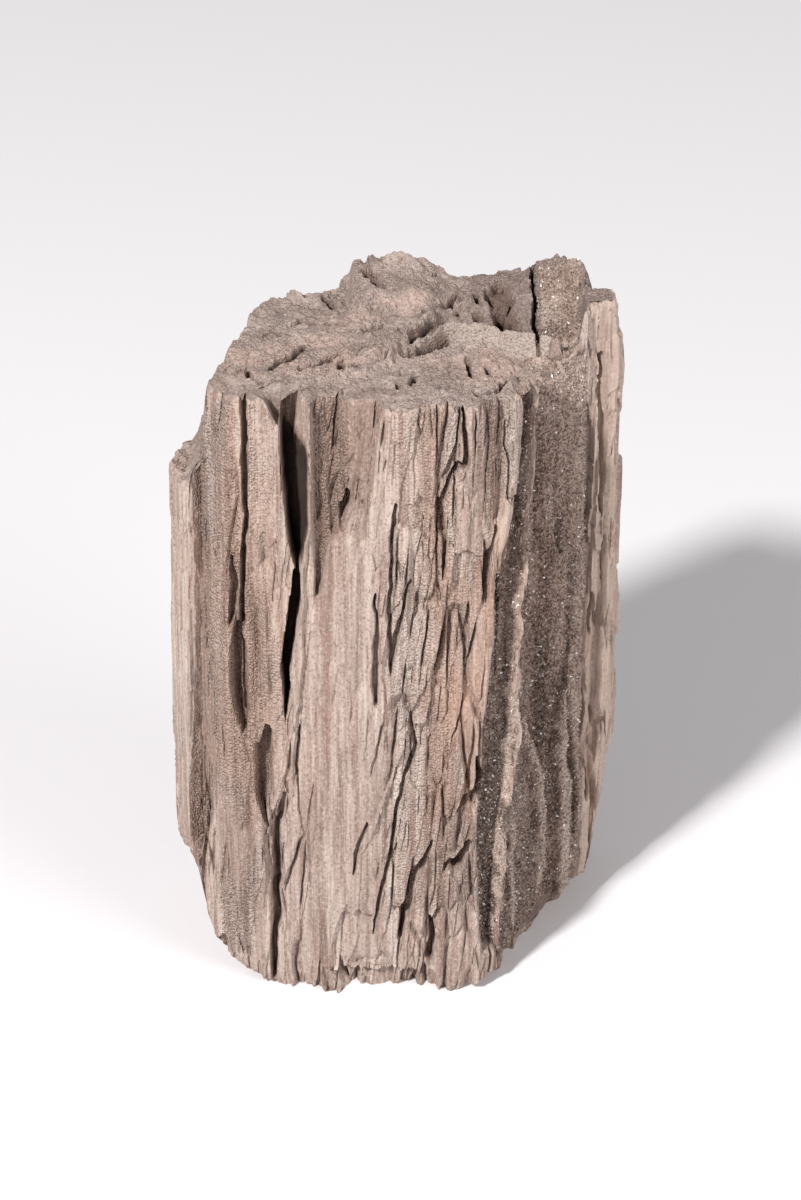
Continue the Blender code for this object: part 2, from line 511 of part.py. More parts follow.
def stone(name, colour, roughness):
    """a plain stone material"""
    material = bpy.data.materials.new(name)
    material.use_nodes = True
    surface = material.node_tree.nodes["Principled BSDF"]
    surface.inputs["Base Color"].default_value = (*colour, 1)
    surface.inputs["Roughness"].default_value = roughness
    surface.inputs["Metallic"].default_value = 0.0
    return material


def build_log(collection):
    """the log's facets, with its foot snapped flat"""
    fine = turned_billet("log", COLUMNS, WALL_RINGS, END_RINGS)
    shape_log(fine)
    log = bpy.data.objects.new("log", fine)
    collection.objects.link(log)
    facets = log.modifiers.new("facets", "DECIMATE")
    facets.ratio = LOG_FACETS / sum(len(face.vertices) - 2 for face in fine.polygons)
    mesh = evaluated_mesh(log)
    log.modifiers.remove(facets)
    log.data = mesh
    bpy.data.meshes.remove(fine)
    points = read_points(mesh)
    points[points[:, 2] < FOOT_SNAP, 2] = 0.0
    write_points(mesh, points * MM)
    mesh.materials.append(stone("petrified wood", (0.50, 0.37, 0.31), 0.85))
    return log


def places_on_wall(points):
    """the places (a, z) from which points of the wall were moved inward"""
    starts = np.arange(len(EDGE)) * GIRTH / len(EDGE)
    away = points[:, None, :2] - EDGE[None]
    aside = np.abs(away[:, :, 0] * INWARD[:, 1] - away[:, :, 1] * INWARD[:, 0])
    aside[(away * INWARD).sum(2) < -12] = np.inf
    aside[(away * INWARD).sum(2) > 45] = np.inf
    a = starts[aside.argmin(1)]
    return np.where(a > GIRTH / 2, a - GIRTH, a), points[:, 2]


def in_wall_hollow(rows):
    """a test for facets that lie inside one of the wall's hollows"""
    def inside(points, upward):
        in_hollow = band(rows, *places_on_wall(points), CRUST_MARGIN) > 0.99
        low, high = CRUST_REACH
        return in_hollow & (upward < 0.5) & (points[:, 2] > low) & (points[:, 2] < high)
    return inside


def in_top_hollow(points, upward):
    """whether facets lie inside the hollow on the top"""
    return (band(TOP_HOLLOW, points[:, 0], points[:, 1], CRUST_MARGIN) > 0.99) & (upward > 0.5)


def largest_sheet(shell, kept):
    """the largest set of kept faces that hang together edge to edge, with no pinched corner"""
    faces = {face for face, keep in zip(shell.faces, kept) if keep}
    while True:
        pinched = {face for vertex in shell.verts for face in vertex.link_faces
                   if sum(1 for edge in vertex.link_edges
                          if len(faces.intersection(edge.link_faces)) == 1) > 2}
        if not faces & pinched:
            break
        faces -= pinched
    best = set()
    while faces:
        sheet, fresh = set(), {faces.pop()}
        while fresh:
            sheet |= fresh
            fresh = {other for face in fresh for edge in face.edges
                     for other in edge.link_faces if other in faces}
            faces -= fresh
        best = max(best, sheet, key=len)
    return best


def build_crust(name, log, inside, seed, collection):
    """a thin shell grown from those of the log's facets whose middles lie inside a hollow"""
    mesh = evaluated_mesh(log)
    shell = bmesh.new()
    shell.from_mesh(mesh)
    middles = np.array([face.calc_center_median() for face in shell.faces]) / MM
    middles[:, :2] += CENTRE
    kept = inside(middles, np.array([face.normal.z for face in shell.faces]))
    lifts = [vertex.normal * CRUST_GAP * MM for vertex in shell.verts]
    for vertex, lift in zip(shell.verts, lifts):
        vertex.co += lift
    sheet = largest_sheet(shell, kept)
    outside = [face for face in shell.faces if face not in sheet]
    bmesh.ops.delete(shell, geom=outside, context="FACES")
    while True:
        long_edges = [edge for edge in shell.edges if edge.calc_length() > CRUST_FACET * MM]
        if not long_edges:
            break
        bmesh.ops.subdivide_edges(shell, edges=long_edges, cuts=1)
        bmesh.ops.triangulate(shell, faces=shell.faces)
    places = np.array([vertex.co for vertex in shell.verts]) / MM
    border = places[[vertex.is_boundary for vertex in shell.verts]]
    shell.to_mesh(mesh)
    shell.free()
    crust = bpy.data.objects.new(name, mesh)
    collection.objects.link(crust)
    mesh.materials.clear()
    mesh.materials.append(stone(name, (0.22, 0.16, 0.14), 0.35))
    # the crust grows unevenly, and thins out towards its edge
    growth = crust.vertex_groups.new(name="growth")
    shares = np.random.default_rng(seed).uniform(0.35, 1.0, len(places))
    for index, (place, share) in enumerate(zip(places, shares)):
        to_edge = np.hypot.reduce(border - place, axis=1).min()
        growth.add([index], 0.1 + 0.9 * share * min(1.0, to_edge / CRUST_TAPER), "REPLACE")
    grow = crust.modifiers.new("grow", "SOLIDIFY")
    grow.thickness = CRUST_THICKNESS * MM
    grow.offset = 1.0
    grow.vertex_group = growth.name
    return crust


def main():
    for thing in list(bpy.data.objects):
        bpy.data.objects.remove(thing)
    collection = bpy.data.collections.new("petrified wood log")
    bpy.context.scene.collection.children.link(collection)
    log = build_log(collection)
    build_crust("druse_narrow_hollow", log, in_wall_hollow(NARROW_HOLLOW), 71, collection)
    build_crust("druse_broad_hollow", log, in_wall_hollow(BROAD_HOLLOW), 72, collection)
    build_crust("druse_top_hollow", log, in_top_hollow, 73, collection)


main()
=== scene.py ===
"""The looks of the petrified wood log: the stone itself, the druse quartz in its hollows, and
the studio. The log's sizes are in millimetres; what is written to a mesh is in metres."""
from math import radians

import bpy
import numpy as np
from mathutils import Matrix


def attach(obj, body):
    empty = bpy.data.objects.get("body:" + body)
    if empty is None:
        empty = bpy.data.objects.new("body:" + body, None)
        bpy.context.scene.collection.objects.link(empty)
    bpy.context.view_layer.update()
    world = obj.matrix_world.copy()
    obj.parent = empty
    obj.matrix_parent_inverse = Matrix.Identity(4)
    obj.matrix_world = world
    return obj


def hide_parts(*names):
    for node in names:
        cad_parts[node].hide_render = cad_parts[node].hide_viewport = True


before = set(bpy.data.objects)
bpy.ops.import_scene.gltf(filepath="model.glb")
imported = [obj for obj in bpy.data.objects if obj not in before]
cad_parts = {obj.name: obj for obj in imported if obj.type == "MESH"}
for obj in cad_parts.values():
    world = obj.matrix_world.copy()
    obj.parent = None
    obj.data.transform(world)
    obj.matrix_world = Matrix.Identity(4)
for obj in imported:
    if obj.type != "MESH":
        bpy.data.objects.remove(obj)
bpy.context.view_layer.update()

# ------------------------------------------------------------------------------------------
# The log: one piece of wood turned to stone, broken off across both ends. It is a turned
# billet whose points are moved to the log's outline, its ends, and the splits and splinters
# that follow the grain. A place on its wall is (a, z): a runs round from the front middle.
# ------------------------------------------------------------------------------------------
MM = 0.001
RIM_HEIGHT = 419.0        # front edge of the broken top
PEAK_RISE = 12.0          # back right corner above the rim
BLOCK_RISE = 9.0          # broken block at the back above the left half of the top
PLANK_RISE = 20.0         # planks at the right above the rim
SHOULDER_DROP = 60.0      # broken corner at the left, below the top
SPLIT_DEPTH = 27.0        # the long open split left of the front face
CHANNEL_DEPTH = 22.0      # hollow on the right wall
TOP_CHIP = 2.2            # how far the top's edge is worn back
FOOT_CHIP = 1.6
CENTRE = np.array([-2.8, 4.6])  # middle of the bounding box in the outline's own frame
OUTLINE = [(0, -89), (34, -89), (58, -82), (74, -62), (88, -37), (101, -15), (110, 1), (122, 9),
           (132, 19), (134, 44), (131, 70), (98, 92), (46, 98), (-8, 97), (-58, 88), (-102, 62), (-132, 26),
           (-143, -12), (-134, -45), (-108, -69), (-68, -83), (-34, -88)]
FOOT = [(-147, 84), (-138, 77), (-127, 74), (-123, 42), (-118, 28), (-110, 16), (-98, 7),
        (-88, 4), (-80, 2), (-76, 0), (82, 0), (90, 9), (96, 17), (105, 20), (115, 22), (121, 24),
        (125, 48), (128, 82), (134, 90), (140, 102)]

# Cuts along the grain: depth, then (a, z, half width) from the top down
CUTS = [
    (SPLIT_DEPTH, [(-61, 309, 2), (-62.5, 292, 3.2), (-65.6, 268, 3.8), (-67.8, 247, 3.5),
                   (-69.6, 226, 2.8), (-70.8, 203, 1)]),
    (12, [(-92, 422, 2.2), (-92.4, 382, 2.3), (-93.3, 356, 2.4), (-93, 330, 2),
          (-95.2, 300, 2.4), (-96, 275, 2.6), (-97, 262, 1.2)]),
    (9, [(-102, 312, 1.5), (-102, 290, 3), (-103, 266, 2.4)]),
    (13, [(-99, 266, 2), (-100, 240, 7), (-100, 205, 7), (-98, 187, 2)]),
    (13, [(-80, 195, 1.5), (-84, 180, 7.5), (-85, 150, 7), (-85, 135, 3.5), (-84, 117, 1)]),
    (8, [(-72, 150, 1), (-74, 133, 4), (-75, 125, 2)]),
    (13, [(-77, 127, 1.5), (-78, 110, 3), (-78, 96, 3.6), (-79, 58, 3.8), (-81, 25, 3), (-82, 6, 2)]),
    (9, [(-137, 385, 5), (-138, 372, 4), (-136, 350, 1.5)]),
    (8, [(-14, 297, 0.8), (-14.4, 276, 1.8), (-14, 262, 2.4), (-14.5, 232, 3.2), (-14, 214, 1.6)]),
    (8, [(5, 308, 0.8), (0, 281, 1.8), (-4, 258, 2), (-6.3, 238, 0.8)]),
    (8, [(10, 186, 1), (2, 162, 1.8), (-2.4, 137, 2), (-6.5, 112, 1.8), (-12.8, 77, 1.8),
         (-17, 44, 0.8)]),
    (6, [(-21, 130, 0.8), (-27, 107, 1.8), (-29, 88, 0.8)]),
    (8, [(-2, 354, 1), (-4, 338, 2), (-6, 310, 1.4), (-6.3, 278, 1.8), (-6.3, 240, 0.8)]),
    (9, [(36, 414, 1), (37.7, 383, 2.4), (30, 374, 2.2), (25, 360, 2), (22.5, 350, 2.8),
         (26.9, 325, 2.2), (25.2, 306, 1)]),
    (8, [(6.8, 210, 0.8), (9.8, 187, 1.8), (3, 164, 1.4)]),
    (9, [(56, 336, 1), (52.5, 322, 3), (50.5, 304, 3), (49, 292, 1.4)]),
    (7, [(64, 404, 1), (65, 380, 1.6), (66, 352, 1)]),
    (10, [(20, 118, 1), (15, 100, 2.4), (8, 85, 3.2), (2, 57, 3.6), (-1, 38, 1.8)]),
    (14, [(44, 116, 2), (37, 98, 5), (28, 90, 3)]),
    (13, [(17.5, 57, 1), (20.5, 40, 3.2), (18.6, 22, 3)]),
    (10, [(47, 180, 1), (49, 162, 3.2), (45, 146, 3.8), (37, 137, 2)]),
    (16, [(64, 304, 3), (63.5, 284, 5), (64.5, 264, 4), (63, 250, 1.8), (65.3, 228, 0.8)]),
    (7, [(153, 212, 1.5), (151.5, 181, 2.2), (154, 147, 2.2), (157, 107, 3.4), (161, 87, 3),
         (160, 62, 2)]),
    (5, [(145.5, 301, 1.4), (141, 294, 2.4), (140.5, 284, 2.6), (143.5, 272, 1.4)]),
    (9, [(-31, 359, 1.6), (-32.5, 349, 4.2), (-34, 340, 2.6)]),
    (5, [(-32, 344, 2), (-26, 350, 1.8), (-21, 357, 1)]),
    (9, [(169.5, 404, 2), (172, 372, 3), (173, 340, 3.4), (172.5, 298, 1.6)]),
    (9, [(168.5, 242, 1.2), (168, 224, 2.6), (167, 207, 1)]),
    (8, [(168.5, 107, 1), (169, 96, 2), (169, 84, 1)]),
    (16, [(232, 405, 5), (236, 330, 6), (240, 262, 4), (243, 214, 1.5)]),
    (12, [(262, 250, 2), (268, 170, 5), (272, 92, 5), (275, 44, 2.5)]),
    (10, [(300, 420, 3.5), (305, 352, 4), (309, 302, 2)]),
    (22, [(338, 300, 2.5), (342, 240, 6.5), (346, 150, 7), (350, 66, 4), (351, 20, 2)]),
    (12, [(-362, 404, 4), (-358, 322, 5), (-352, 262, 3)]),
    (14, [(-322, 240, 3), (-318, 170, 5.5), (-314, 84, 5), (-312, 36, 2.5)]),
    (12, [(-284, 366, 4.5), (-280, 290, 5.5), (-275, 206, 3)]),
    (10, [(-246, 300, 3), (-243, 214, 4.5), (-240, 130, 3)]),
    (9, [(-206, 342, 4), (-204, 268, 4), (-200, 190, 2.5)]),
    (8, [(-176, 330, 2.5), (-178, 240, 3.6), (-181, 160, 2.5)]),
]

# The main split: (z, left a, right a) from the top down
SPLIT = [(440, -75, -53), (424, -74, -53), (404, -71.5, -53.5), (384, -70.8, -54.5),
         (360, -70.3, -54.8), (338, -67.7, -55.3), (322, -64.6, -57.4), (309, -61.5, -60)]
SPLIT_END = SPLIT[-1][0]

# Sheets that have split away: depth, edge blur, then (z, left a, right a) from the top down
SHEETS = [
    (8, 1.4, [(440, -52, -9), (420, -52, -9.5), (398, -52, -12.8), (378, -52, -15.8),
              (362, -52, -16.8), (356, -52, -23.7), (342, -52, -34.5), (324, -51, -43.6),
              (290, -51, -49)]),
    (3, 1.4, [(430, -44, -31), (397, -43, -33), (370, -42, -35), (352, -41, -38)]),
    (6, 2.0, [(396, -134, -122), (300, -131, -119), (250, -133, -122), (195, -136, -120),
              (123, -144, -122), (86, -141, -130)]),
    (3, 1.4, [(440, 49, 64), (350, 49, 62), (340, 52, 58)]),
    (3, 1.6, [(356, 4, 22), (318, 6, 24), (262, 4, 22), (214, 2, 14), (196, 4, 8)]),
    (4, 1.4, [(60, -37, -17), (50, -40, -17), (34, -42, -15), (22, -42, -10), (16, -44, -36)]),
    (7, 2.0, [(15, -44, 22), (9, -40, 26), (-5, -30, 20)]),
    (4, 1.6, [(270, 167, 176), (170, 166, 175), (120, 166, 172)]),
    (7, 2.0, [(380, 198, 226), (250, 196, 224), (190, 202, 218)]),
    (8, 2.0, [(425, 318, 352), (330, 314, 348), (260, 322, 340)]),
    (7, 2.0, [(180, -372, -336), (90, -374, -330), (30, -368, -336)]),
    (6, 2.0, [(330, -312, -292), (180, -308, -288), (120, -304, -296)]),
    (8, 2.0, [(360, -272, -252), (240, -270, -246), (170, -264, -252)]),
    (5, 1.6, [(250, -232, -208), (130, -232, -212), (84, -226, -216)]),
]
# The stone under the first four is darkened brown: partly the stone's own stain, partly painted shade in
# these recesses
STAINED_AND_SHADED_SHEETS = SHEETS[:4]

# Blades and ribs that stand proud: rise, flat share, then (a, z, half width) from the top down
RIBS = [
    (4, 0.3, [(-52.3, 390, 1.4), (-51, 368, 1.8), (-53, 340, 2.2), (-56, 329, 2.4),
              (-58, 306, 2.4), (-59.5, 274, 2.2), (-60, 240, 2), (-64.4, 205, 2), (-67, 168, 1.4)]),
    (4, 0.3, [(-66, 200, 1.2), (-70.6, 172, 2), (-75, 152, 2), (-81.6, 131, 2), (-84, 112, 1)]),
    (4, 0.4, [(-97, 306, 1), (-96.5, 287, 1.8), (-99, 262, 1.6), (-99, 232, 1.4), (-99, 200, 0.8)]),
    (3, 0.3, [(-85, 330, 3.5), (-84, 270, 4), (-82, 222, 3)]),
    (3.5, 0.3, [(97, 412, 2.2), (92.5, 370, 2.2), (86.5, 330, 2.2), (83, 302, 2.2), (79, 274, 2.2),
                (78, 235, 2.2), (77, 212, 2.4), (80, 180, 3.2), (78, 158, 3.4), (76, 138, 2.8),
                (69, 118, 2.6), (65, 82, 2.6), (63, 45, 2.6), (64, 12, 2.6)]),
    (5, 0.6, [(64, 350, 4), (61, 330, 7), (58, 308, 5.5)]),
    (4, 0.6, [(71, 414, 5), (70, 380, 6), (69, 358, 4.6)]),
    (4, 0.2, [(98, 112, 3), (98, 95, 5.5), (89, 76, 5), (89, 30, 5)]),
    (6, 0.2, [(112, 168, 3), (120, 146, 4.4), (128, 125, 5), (129, 98, 5.5), (128, 72, 5), (122, 42, 5)]),
    (6, 0.3, [(148, 175, 2), (147, 145, 4.6), (146, 124, 5.5), (150, 94, 6.5), (149, 65, 7.5),
              (146, 32, 8), (142, 14, 7)]),
    (4, 0.4, [(181.5, 415, 5), (180, 300, 5), (178, 150, 5)]),
    (6, 0.2, [(286, 300, 6), (290, 180, 7), (292, 60, 5)]),
    (6, 0.2, [(-336, 400, 6), (-338, 300, 7), (-334, 230, 4)]),
    (5, 0.2, [(-262, 170, 5), (-258, 100, 6), (-256, 74, 4)]),
]
# The bare rib between the two hollows, and the pale plate that stands in the narrow one
BARE_RIB, PALE_PLATE = RIBS[4][2], RIBS[5][2]

# Druse hollows on the wall: (z, left a, right a) from the top down
NARROW_HOLLOW = [(412, 80, 95.5), (370, 75, 91), (350, 74, 88), (330, 70, 85), (303, 65, 81.5),
                 (290, 60, 80), (254, 58, 78), (235, 56, 77.5), (212, 54, 76.5), (194, 51, 80),
                 (180, 51, 82.5), (158, 51, 80), (146, 49, 77), (118, 48, 69), (82, 50, 64.5),
                 (45, 51, 62.5), (30, 53, 61)]
BROAD_HOLLOW = [(412, 100, 158), (370, 95.5, 160.5), (330, 89.5, 162), (302, 86, 162.5), (274, 82, 162.5),
                (254, 82, 163), (235, 81, 163), (212, 80, 163), (180, 86, 162), (158, 83, 162),
                (138, 80, 162), (118, 73, 163), (82, 69, 165), (45, 67, 165), (20, 68, 163),
                (9, 70, 158)]

# Druse hollow on the top: (y, left x, right x) from the back forward
TOP_HOLLOW = [(90, 85.5, 106), (74, 85.5, 110), (50, 85.5, 108), (20, 86, 107), (2, 86.5, 105),
              (-5, 87, 101)]

# Left and back edges of the top, beyond which the corner is broken down: (y, x)
SHOULDER_EDGE = [(-90, -110), (-45, -110), (28, -91), (49, -85), (58, -72), (63, -50),
                 (70, -36), (100, -33)]

# Crest of the ledge across the top: (x, y)
CREST = [(-6, -31), (12, -9), (27, 11), (36, 11), (58, 3), (79, -5), (109, -12)]

# Pits and cracks of the top: depth, then (x, y, half width)
TOP_CUTS = [
    (9, [(-67, 16, 1.6), (-60, 21, 2.4), (-50, 21.5, 2.4), (-38, 21, 2.8), (-32, 20, 2)]),
    (11, [(-20, 12, 4.4), (-14, 17, 3.4), (-7, 23, 1.4)]),
    (10, [(-29, -16, 3.4), (-20, -11, 2.8), (-11, -6, 1.2)]),
    (11, [(-77, -42, 1.6), (-69, -29, 4.6), (-62, -18, 3.6), (-56, -7, 1.2)]),
    (7, [(-60, -41, 1.2), (-49, -32, 2.6), (-42, -24, 3), (-36, -22, 2)]),
    (9, [(-34, -38, 3), (-35, -28, 2.6)]),
    (8, [(-27, -34, 3.2), (-22, -36, 2.6)]),
    (10, [(4, -5, 1.4), (10, 4, 3.2), (19, 17, 3.2), (24, 26, 1.2)]),
    (7, [(22, 42, 1.2), (28, 53, 2.6), (35, 65, 1.2)]),
    (15, [(-4, -24, 3.4), (5, -19, 5.5), (15, -10, 7), (23, -1, 7), (27, 5, 3.4)]),
    (9, [(15, 36, 3), (19, 34, 2.4)]),
    (12, [(24, 44, 2.8), (29, 47, 4.2), (34, 46, 2.8)]),
    (5, [(60, 74, 6), (64, 30, 11)]),
    (8, [(46, 64, 2), (48, 56, 2.8)]),
    (10, [(47, 46, 3.2), (47, 39, 3.8)]),
    (9, [(54, 66, 2.8), (55, 60, 3.2)]),
    (12, [(61, 50, 3.6), (60, 40, 4.2)]),
    (13, [(61, 32, 4.6), (65, 26, 4.4)]),
    (8, [(67, 56, 2.8), (66, 50, 2.4)]),
    (10, [(67, 40, 3.2), (71, 33, 3.8)]),
    (20, [(82, 96, 1.2), (81, 70, 1.6), (81.5, 40, 2.2), (83, 14, 2.6), (83, 9, 2)]),
    (6, [(80, -2, 0.8), (81.5, -8, 1.1), (84, -14, 1.1), (88, -22, 1.6), (90, -30, 1)]),
    (5, [(18, -41, 1.6), (28, -46, 2.2)]),
    (7, [(39, -33, 2.2), (42, -47, 2.6)]),
    (7, [(50, -38, 2.2), (55, -46, 2.8), (60, -48, 1.6)]),
    (5, [(62, -52, 1.6), (57, -67, 2), (49, -73, 1.4)]),
    (8, [(44, -69, 2.6), (46, -71, 2.6)]),
    (5, [(5, -56, 1.6), (9, -48, 1.2)]),
    (5, [(-9, -50, 1.2), (-2, -61, 2)]),
    (6, [(-20, -65, 2), (-11, -64, 2.4), (-4, -64, 1.2)]),
    (9, [(-20, 76, 4.4), (-12, 55, 3.4)]),
    (9, [(-47, 58, 3.2), (-40, 41, 2.4)]),
    (8, [(12, 72, 2.4), (24, 78, 2)]),
    (7, [(-84, 4, 2), (-74, 8, 2.6), (-66, 2, 1.4)]),
    (7, [(-92, -40, 1.4), (-86, -52, 2.4), (-80, -56, 1.4)]),
]
TOP_RIDGES = [
    (5, [(-10, -26, 2.4), (-3, -16, 3.6), (9, 9, 3.8), (21, 31, 4), (34, 48, 3.4), (45, 58, 2)]),
    (6, [(-6, -31, 2.6), (12, -9, 3.8), (27, 11, 4.4), (36, 11, 4.4), (58, 3, 4), (79, -5, 3.4),
         (109, -12, 2.4)]),
    (4, [(-7, 88, 4), (2, 89, 5), (10, 80, 4)]),
    (11, [(106, 70, 6), (111, 64, 8), (117, 55, 7)]),
    (4, [(-73, 62, 4), (-62, 56, 4)]),
    (4, [(30, -30, 3), (52, -34, 3.4), (66, -50, 3.4), (64, -64, 3)]),
    (3, [(-60, -60, 6), (-20, -44, 5), (-6, -31, 4)]),
]


def smooth(low, high, x):
    """0 below low, 1 above high, with an easy curve between them"""
    t = np.clip((x - low) / (high - low), 0.0, 1.0)
    return t * t * (3.0 - 2.0 * t)


def walk_outline(steps=80, samples=4000):
    """the closed outline as points at equal distances, with its inward directions"""
    here = np.array(OUTLINE, float)
    before, after, beyond = (np.roll(here, shift, 0) for shift in (1, -1, -2))
    t = (np.arange(steps) / steps)[:, None, None]
    curve = 0.5 * (2 * here + (after - before) * t
                   + (2 * before - 5 * here + 4 * after - beyond) * t ** 2
                   + (3 * here - before - 3 * after + beyond) * t ** 3)
    curve = curve.transpose(1, 0, 2).reshape(-1, 2)
    curve = np.vstack([curve, curve[:1]])
    along = np.concatenate([[0], np.cumsum(np.hypot(*np.diff(curve, axis=0).T))])
    place = np.linspace(0, along[-1], samples, endpoint=False)
    points = np.stack([np.interp(place, along, curve[:, i]) for i in (0, 1)], 1)
    tangent = np.roll(points, -1, 0) - np.roll(points, 1, 0)
    tangent /= np.hypot(*tangent.T)[:, None]
    # cuts run square to the bark, turned straight back where they face the front
    inward = np.stack([-tangent[:, 1], tangent[:, 0]], 1)
    inward[:, 0] -= 0.22 * smooth(-20, -50, points[:, 0]) * smooth(0.3, 0.9, inward[:, 1])
    inward[:, 1] += 0.9 * smooth(0, 1, inward[:, 1])
    inward /= np.hypot(*inward.T)[:, None]
    return points, inward, along[-1]


EDGE, INWARD, GIRTH = walk_outline()


def at(table, a):
    """a table of the outline read at places a"""
    spot = (a / GIRTH % 1.0) * len(table)
    low = np.floor(spot).astype(int)
    part = (spot - low)[:, None]
    return table[low % len(table)] * (1 - part) + table[(low + 1) % len(table)] * part


def noise(u, v, seed, columns=256):
    """smooth random numbers, 0 to 1, on a lattice that closes after a number of columns"""
    table = np.random.default_rng(seed).random((256, columns))
    i, j = np.floor(u).astype(int), np.floor(v).astype(int)
    s, t = smooth(0, 1, u - i), smooth(0, 1, v - j)
    lower = table[j % 256, i % columns] * (1 - s) + table[j % 256, (i + 1) % columns] * s
    upper = table[(j + 1) % 256, i % columns] * (1 - s) + table[(j + 1) % 256, (i + 1) % columns] * s
    return lower * (1 - t) + upper * t


def lumps(x, y, size, seed):
    """broken-stone lumps, about -1 to 1"""
    total = 0.0
    for octave in range(3):
        scale = 2 ** octave / size
        total = total + (noise(x * scale, y * scale, seed + octave) * 2 - 1) / 2 ** octave
    return total / 1.4


def grain(a, z):
    """place along the girth, following the grain, which leans on the front face"""
    lean = 0.11 * np.exp(-((a + 15) / 75) ** 2)
    return a - lean * (z - 0.5 * RIM_HEIGHT)


def flutes(a, z, width, length, seed):
    """long ribs along the grain, -1 to 1"""
    columns = round(GIRTH / width)
    return noise(grain(a, z) / GIRTH * columns, z / length, seed, columns) * 2 - 1


def cells(u, v, columns, seed):
    """a lattice of shaken cells that closes after a number of columns: the level of the cell
    that each place is in, how far it is from the cell's middle, and from its border"""
    random = np.random.default_rng(seed)
    shift = random.random((64, columns, 2))
    level = random.uniform(-1, 1, (64, columns, 2))
    nearest = np.full(u.shape, np.inf)
    second = np.full(u.shape, np.inf)
    relief = np.zeros(u.shape)
    for i in (-1, 0, 1):
        for j in (-1, 0, 1):
            column, row = np.floor(u).astype(int) + i, np.floor(v).astype(int) + j
            cell = (row % 64, column % columns)
            du = u - column - shift[cell + (0,)]
            dv = v - row - shift[cell + (1,)]
            distance = np.hypot(du, dv)
            closer = distance < nearest
            second = np.where(closer, nearest, np.minimum(second, distance))
            nearest = np.where(closer, distance, nearest)
            relief = np.where(closer, level[cell + (0,)] + 0.8 * level[cell + (1,)] * du, relief)
    return relief, nearest, second - nearest


def splinters(a, z, width, length, seed):
    """split plates with pointed ends: each one's level and tilt, about -1 to 1, and the gaps
    that gape between some of them, 0 to 1"""
    columns = round(GIRTH / width)
    level, _, border = cells(grain(a, z) / GIRTH * columns, z / length, columns, seed)
    busy = 0.13 * band([(330, 60, 80), (200, -20, 80), (-60, -20, 80)], a, z, 15)
    gaping = smooth(0.65 - busy, 0.80 - busy, noise(a / GIRTH * 60, z / (0.6 * length), seed + 50, 60))
    return level, smooth(0.18, 0.05, border) * gaping


def wander(a, z, amount):
    """places shaken a little, so that no split runs straight"""
    u = a / GIRTH
    across = noise(u * 90, z / 17, 71, 90) + 0.6 * noise(u * 260, z / 6, 72, 260) - 0.8
    return a + 2 * amount * across, z + 7 * amount * (noise(u * 200, z / 30, 73, 200) - 0.5)


def stroke(path, p, q, edge=0.5):
    """1 along a path of (p, q, half width), 0 beyond its half width"""
    mark = np.zeros(p.shape)
    for (p0, q0, w0), (p1, q1, w1) in zip(path[:-1], path[1:]):
        dp, dq = p1 - p0, q1 - q0
        reach = max(w0, w1)
        box = ((p > min(p0, p1) - reach) & (p < max(p0, p1) + reach)
               & (q > min(q0, q1) - reach) & (q < max(q0, q1) + reach))
        part = np.clip(((p[box] - p0) * dp + (q[box] - q0) * dq) / (dp * dp + dq * dq), 0, 1)
        away = np.hypot(p[box] - p0 - part * dp, q[box] - q0 - part * dq)
        mark[box] = np.maximum(mark[box], 1 - smooth(edge, 1, away / (w0 + part * (w1 - w0))))
    return mark


def band(rows, across, along, blur):
    """1 between the left and right edges given by rows of (along, left, right)"""
    rows = np.array(rows[::-1], float) if rows[0][0] > rows[-1][0] else np.array(rows, float)
    left, right = (np.interp(along, rows[:, 0], rows[:, i]) for i in (1, 2))
    inside = np.minimum(across - left, right - across)
    ends = np.minimum(along - rows[0, 0], rows[-1, 0] - along)
    return smooth(-blur, blur, np.minimum(inside, ends))


def hollow_on_wall(a, z):
    """how far each place lies inside the wall's druse hollows, 0 to 1"""
    return np.maximum(band(NARROW_HOLLOW, a, z, 1.4), band(BROAD_HOLLOW, a, z, 1.8))


def all_cuts(a, z):
    """depth of the cuts along the grain"""
    cut = np.zeros(a.shape)
    shaken = wander(a, z, 1.1)
    for amount, path in CUTS:
        cut = np.maximum(cut, amount * stroke(path, *shaken, 0.3 if amount < SPLIT_DEPTH else 0.75))
    return cut


def share_across(rows, a, z):
    """where each place lies between a left edge, 0, and a right edge, 1"""
    rows = np.array(rows[::-1], float)
    left, right = (np.interp(z, rows[:, 0], rows[:, i]) for i in (1, 2))
    return (a - left) / (right - left)


def main_split(a, z):
    """share of its depth that the main split has: steep at its left, with a sloping right wall"""
    u = share_across(SPLIT, a, z)
    sloping = 1 - 0.65 * np.clip(u, 0, 1)
    return smooth(-0.02, 0.10, u) * sloping * smooth(1.02, 0.94, u) * (z > SPLIT_END)


def broad_channel(a, z):
    """share of its depth that the broad hollow has: steep at its left, shallow at its right"""
    u = share_across(BROAD_HOLLOW, a, z)
    high = smooth(330, 410, z)
    return smooth(-0.02, 0.12, u) * smooth(1.03, 0.45 - 0.2 * high, u) * smooth(-40, 150, z)


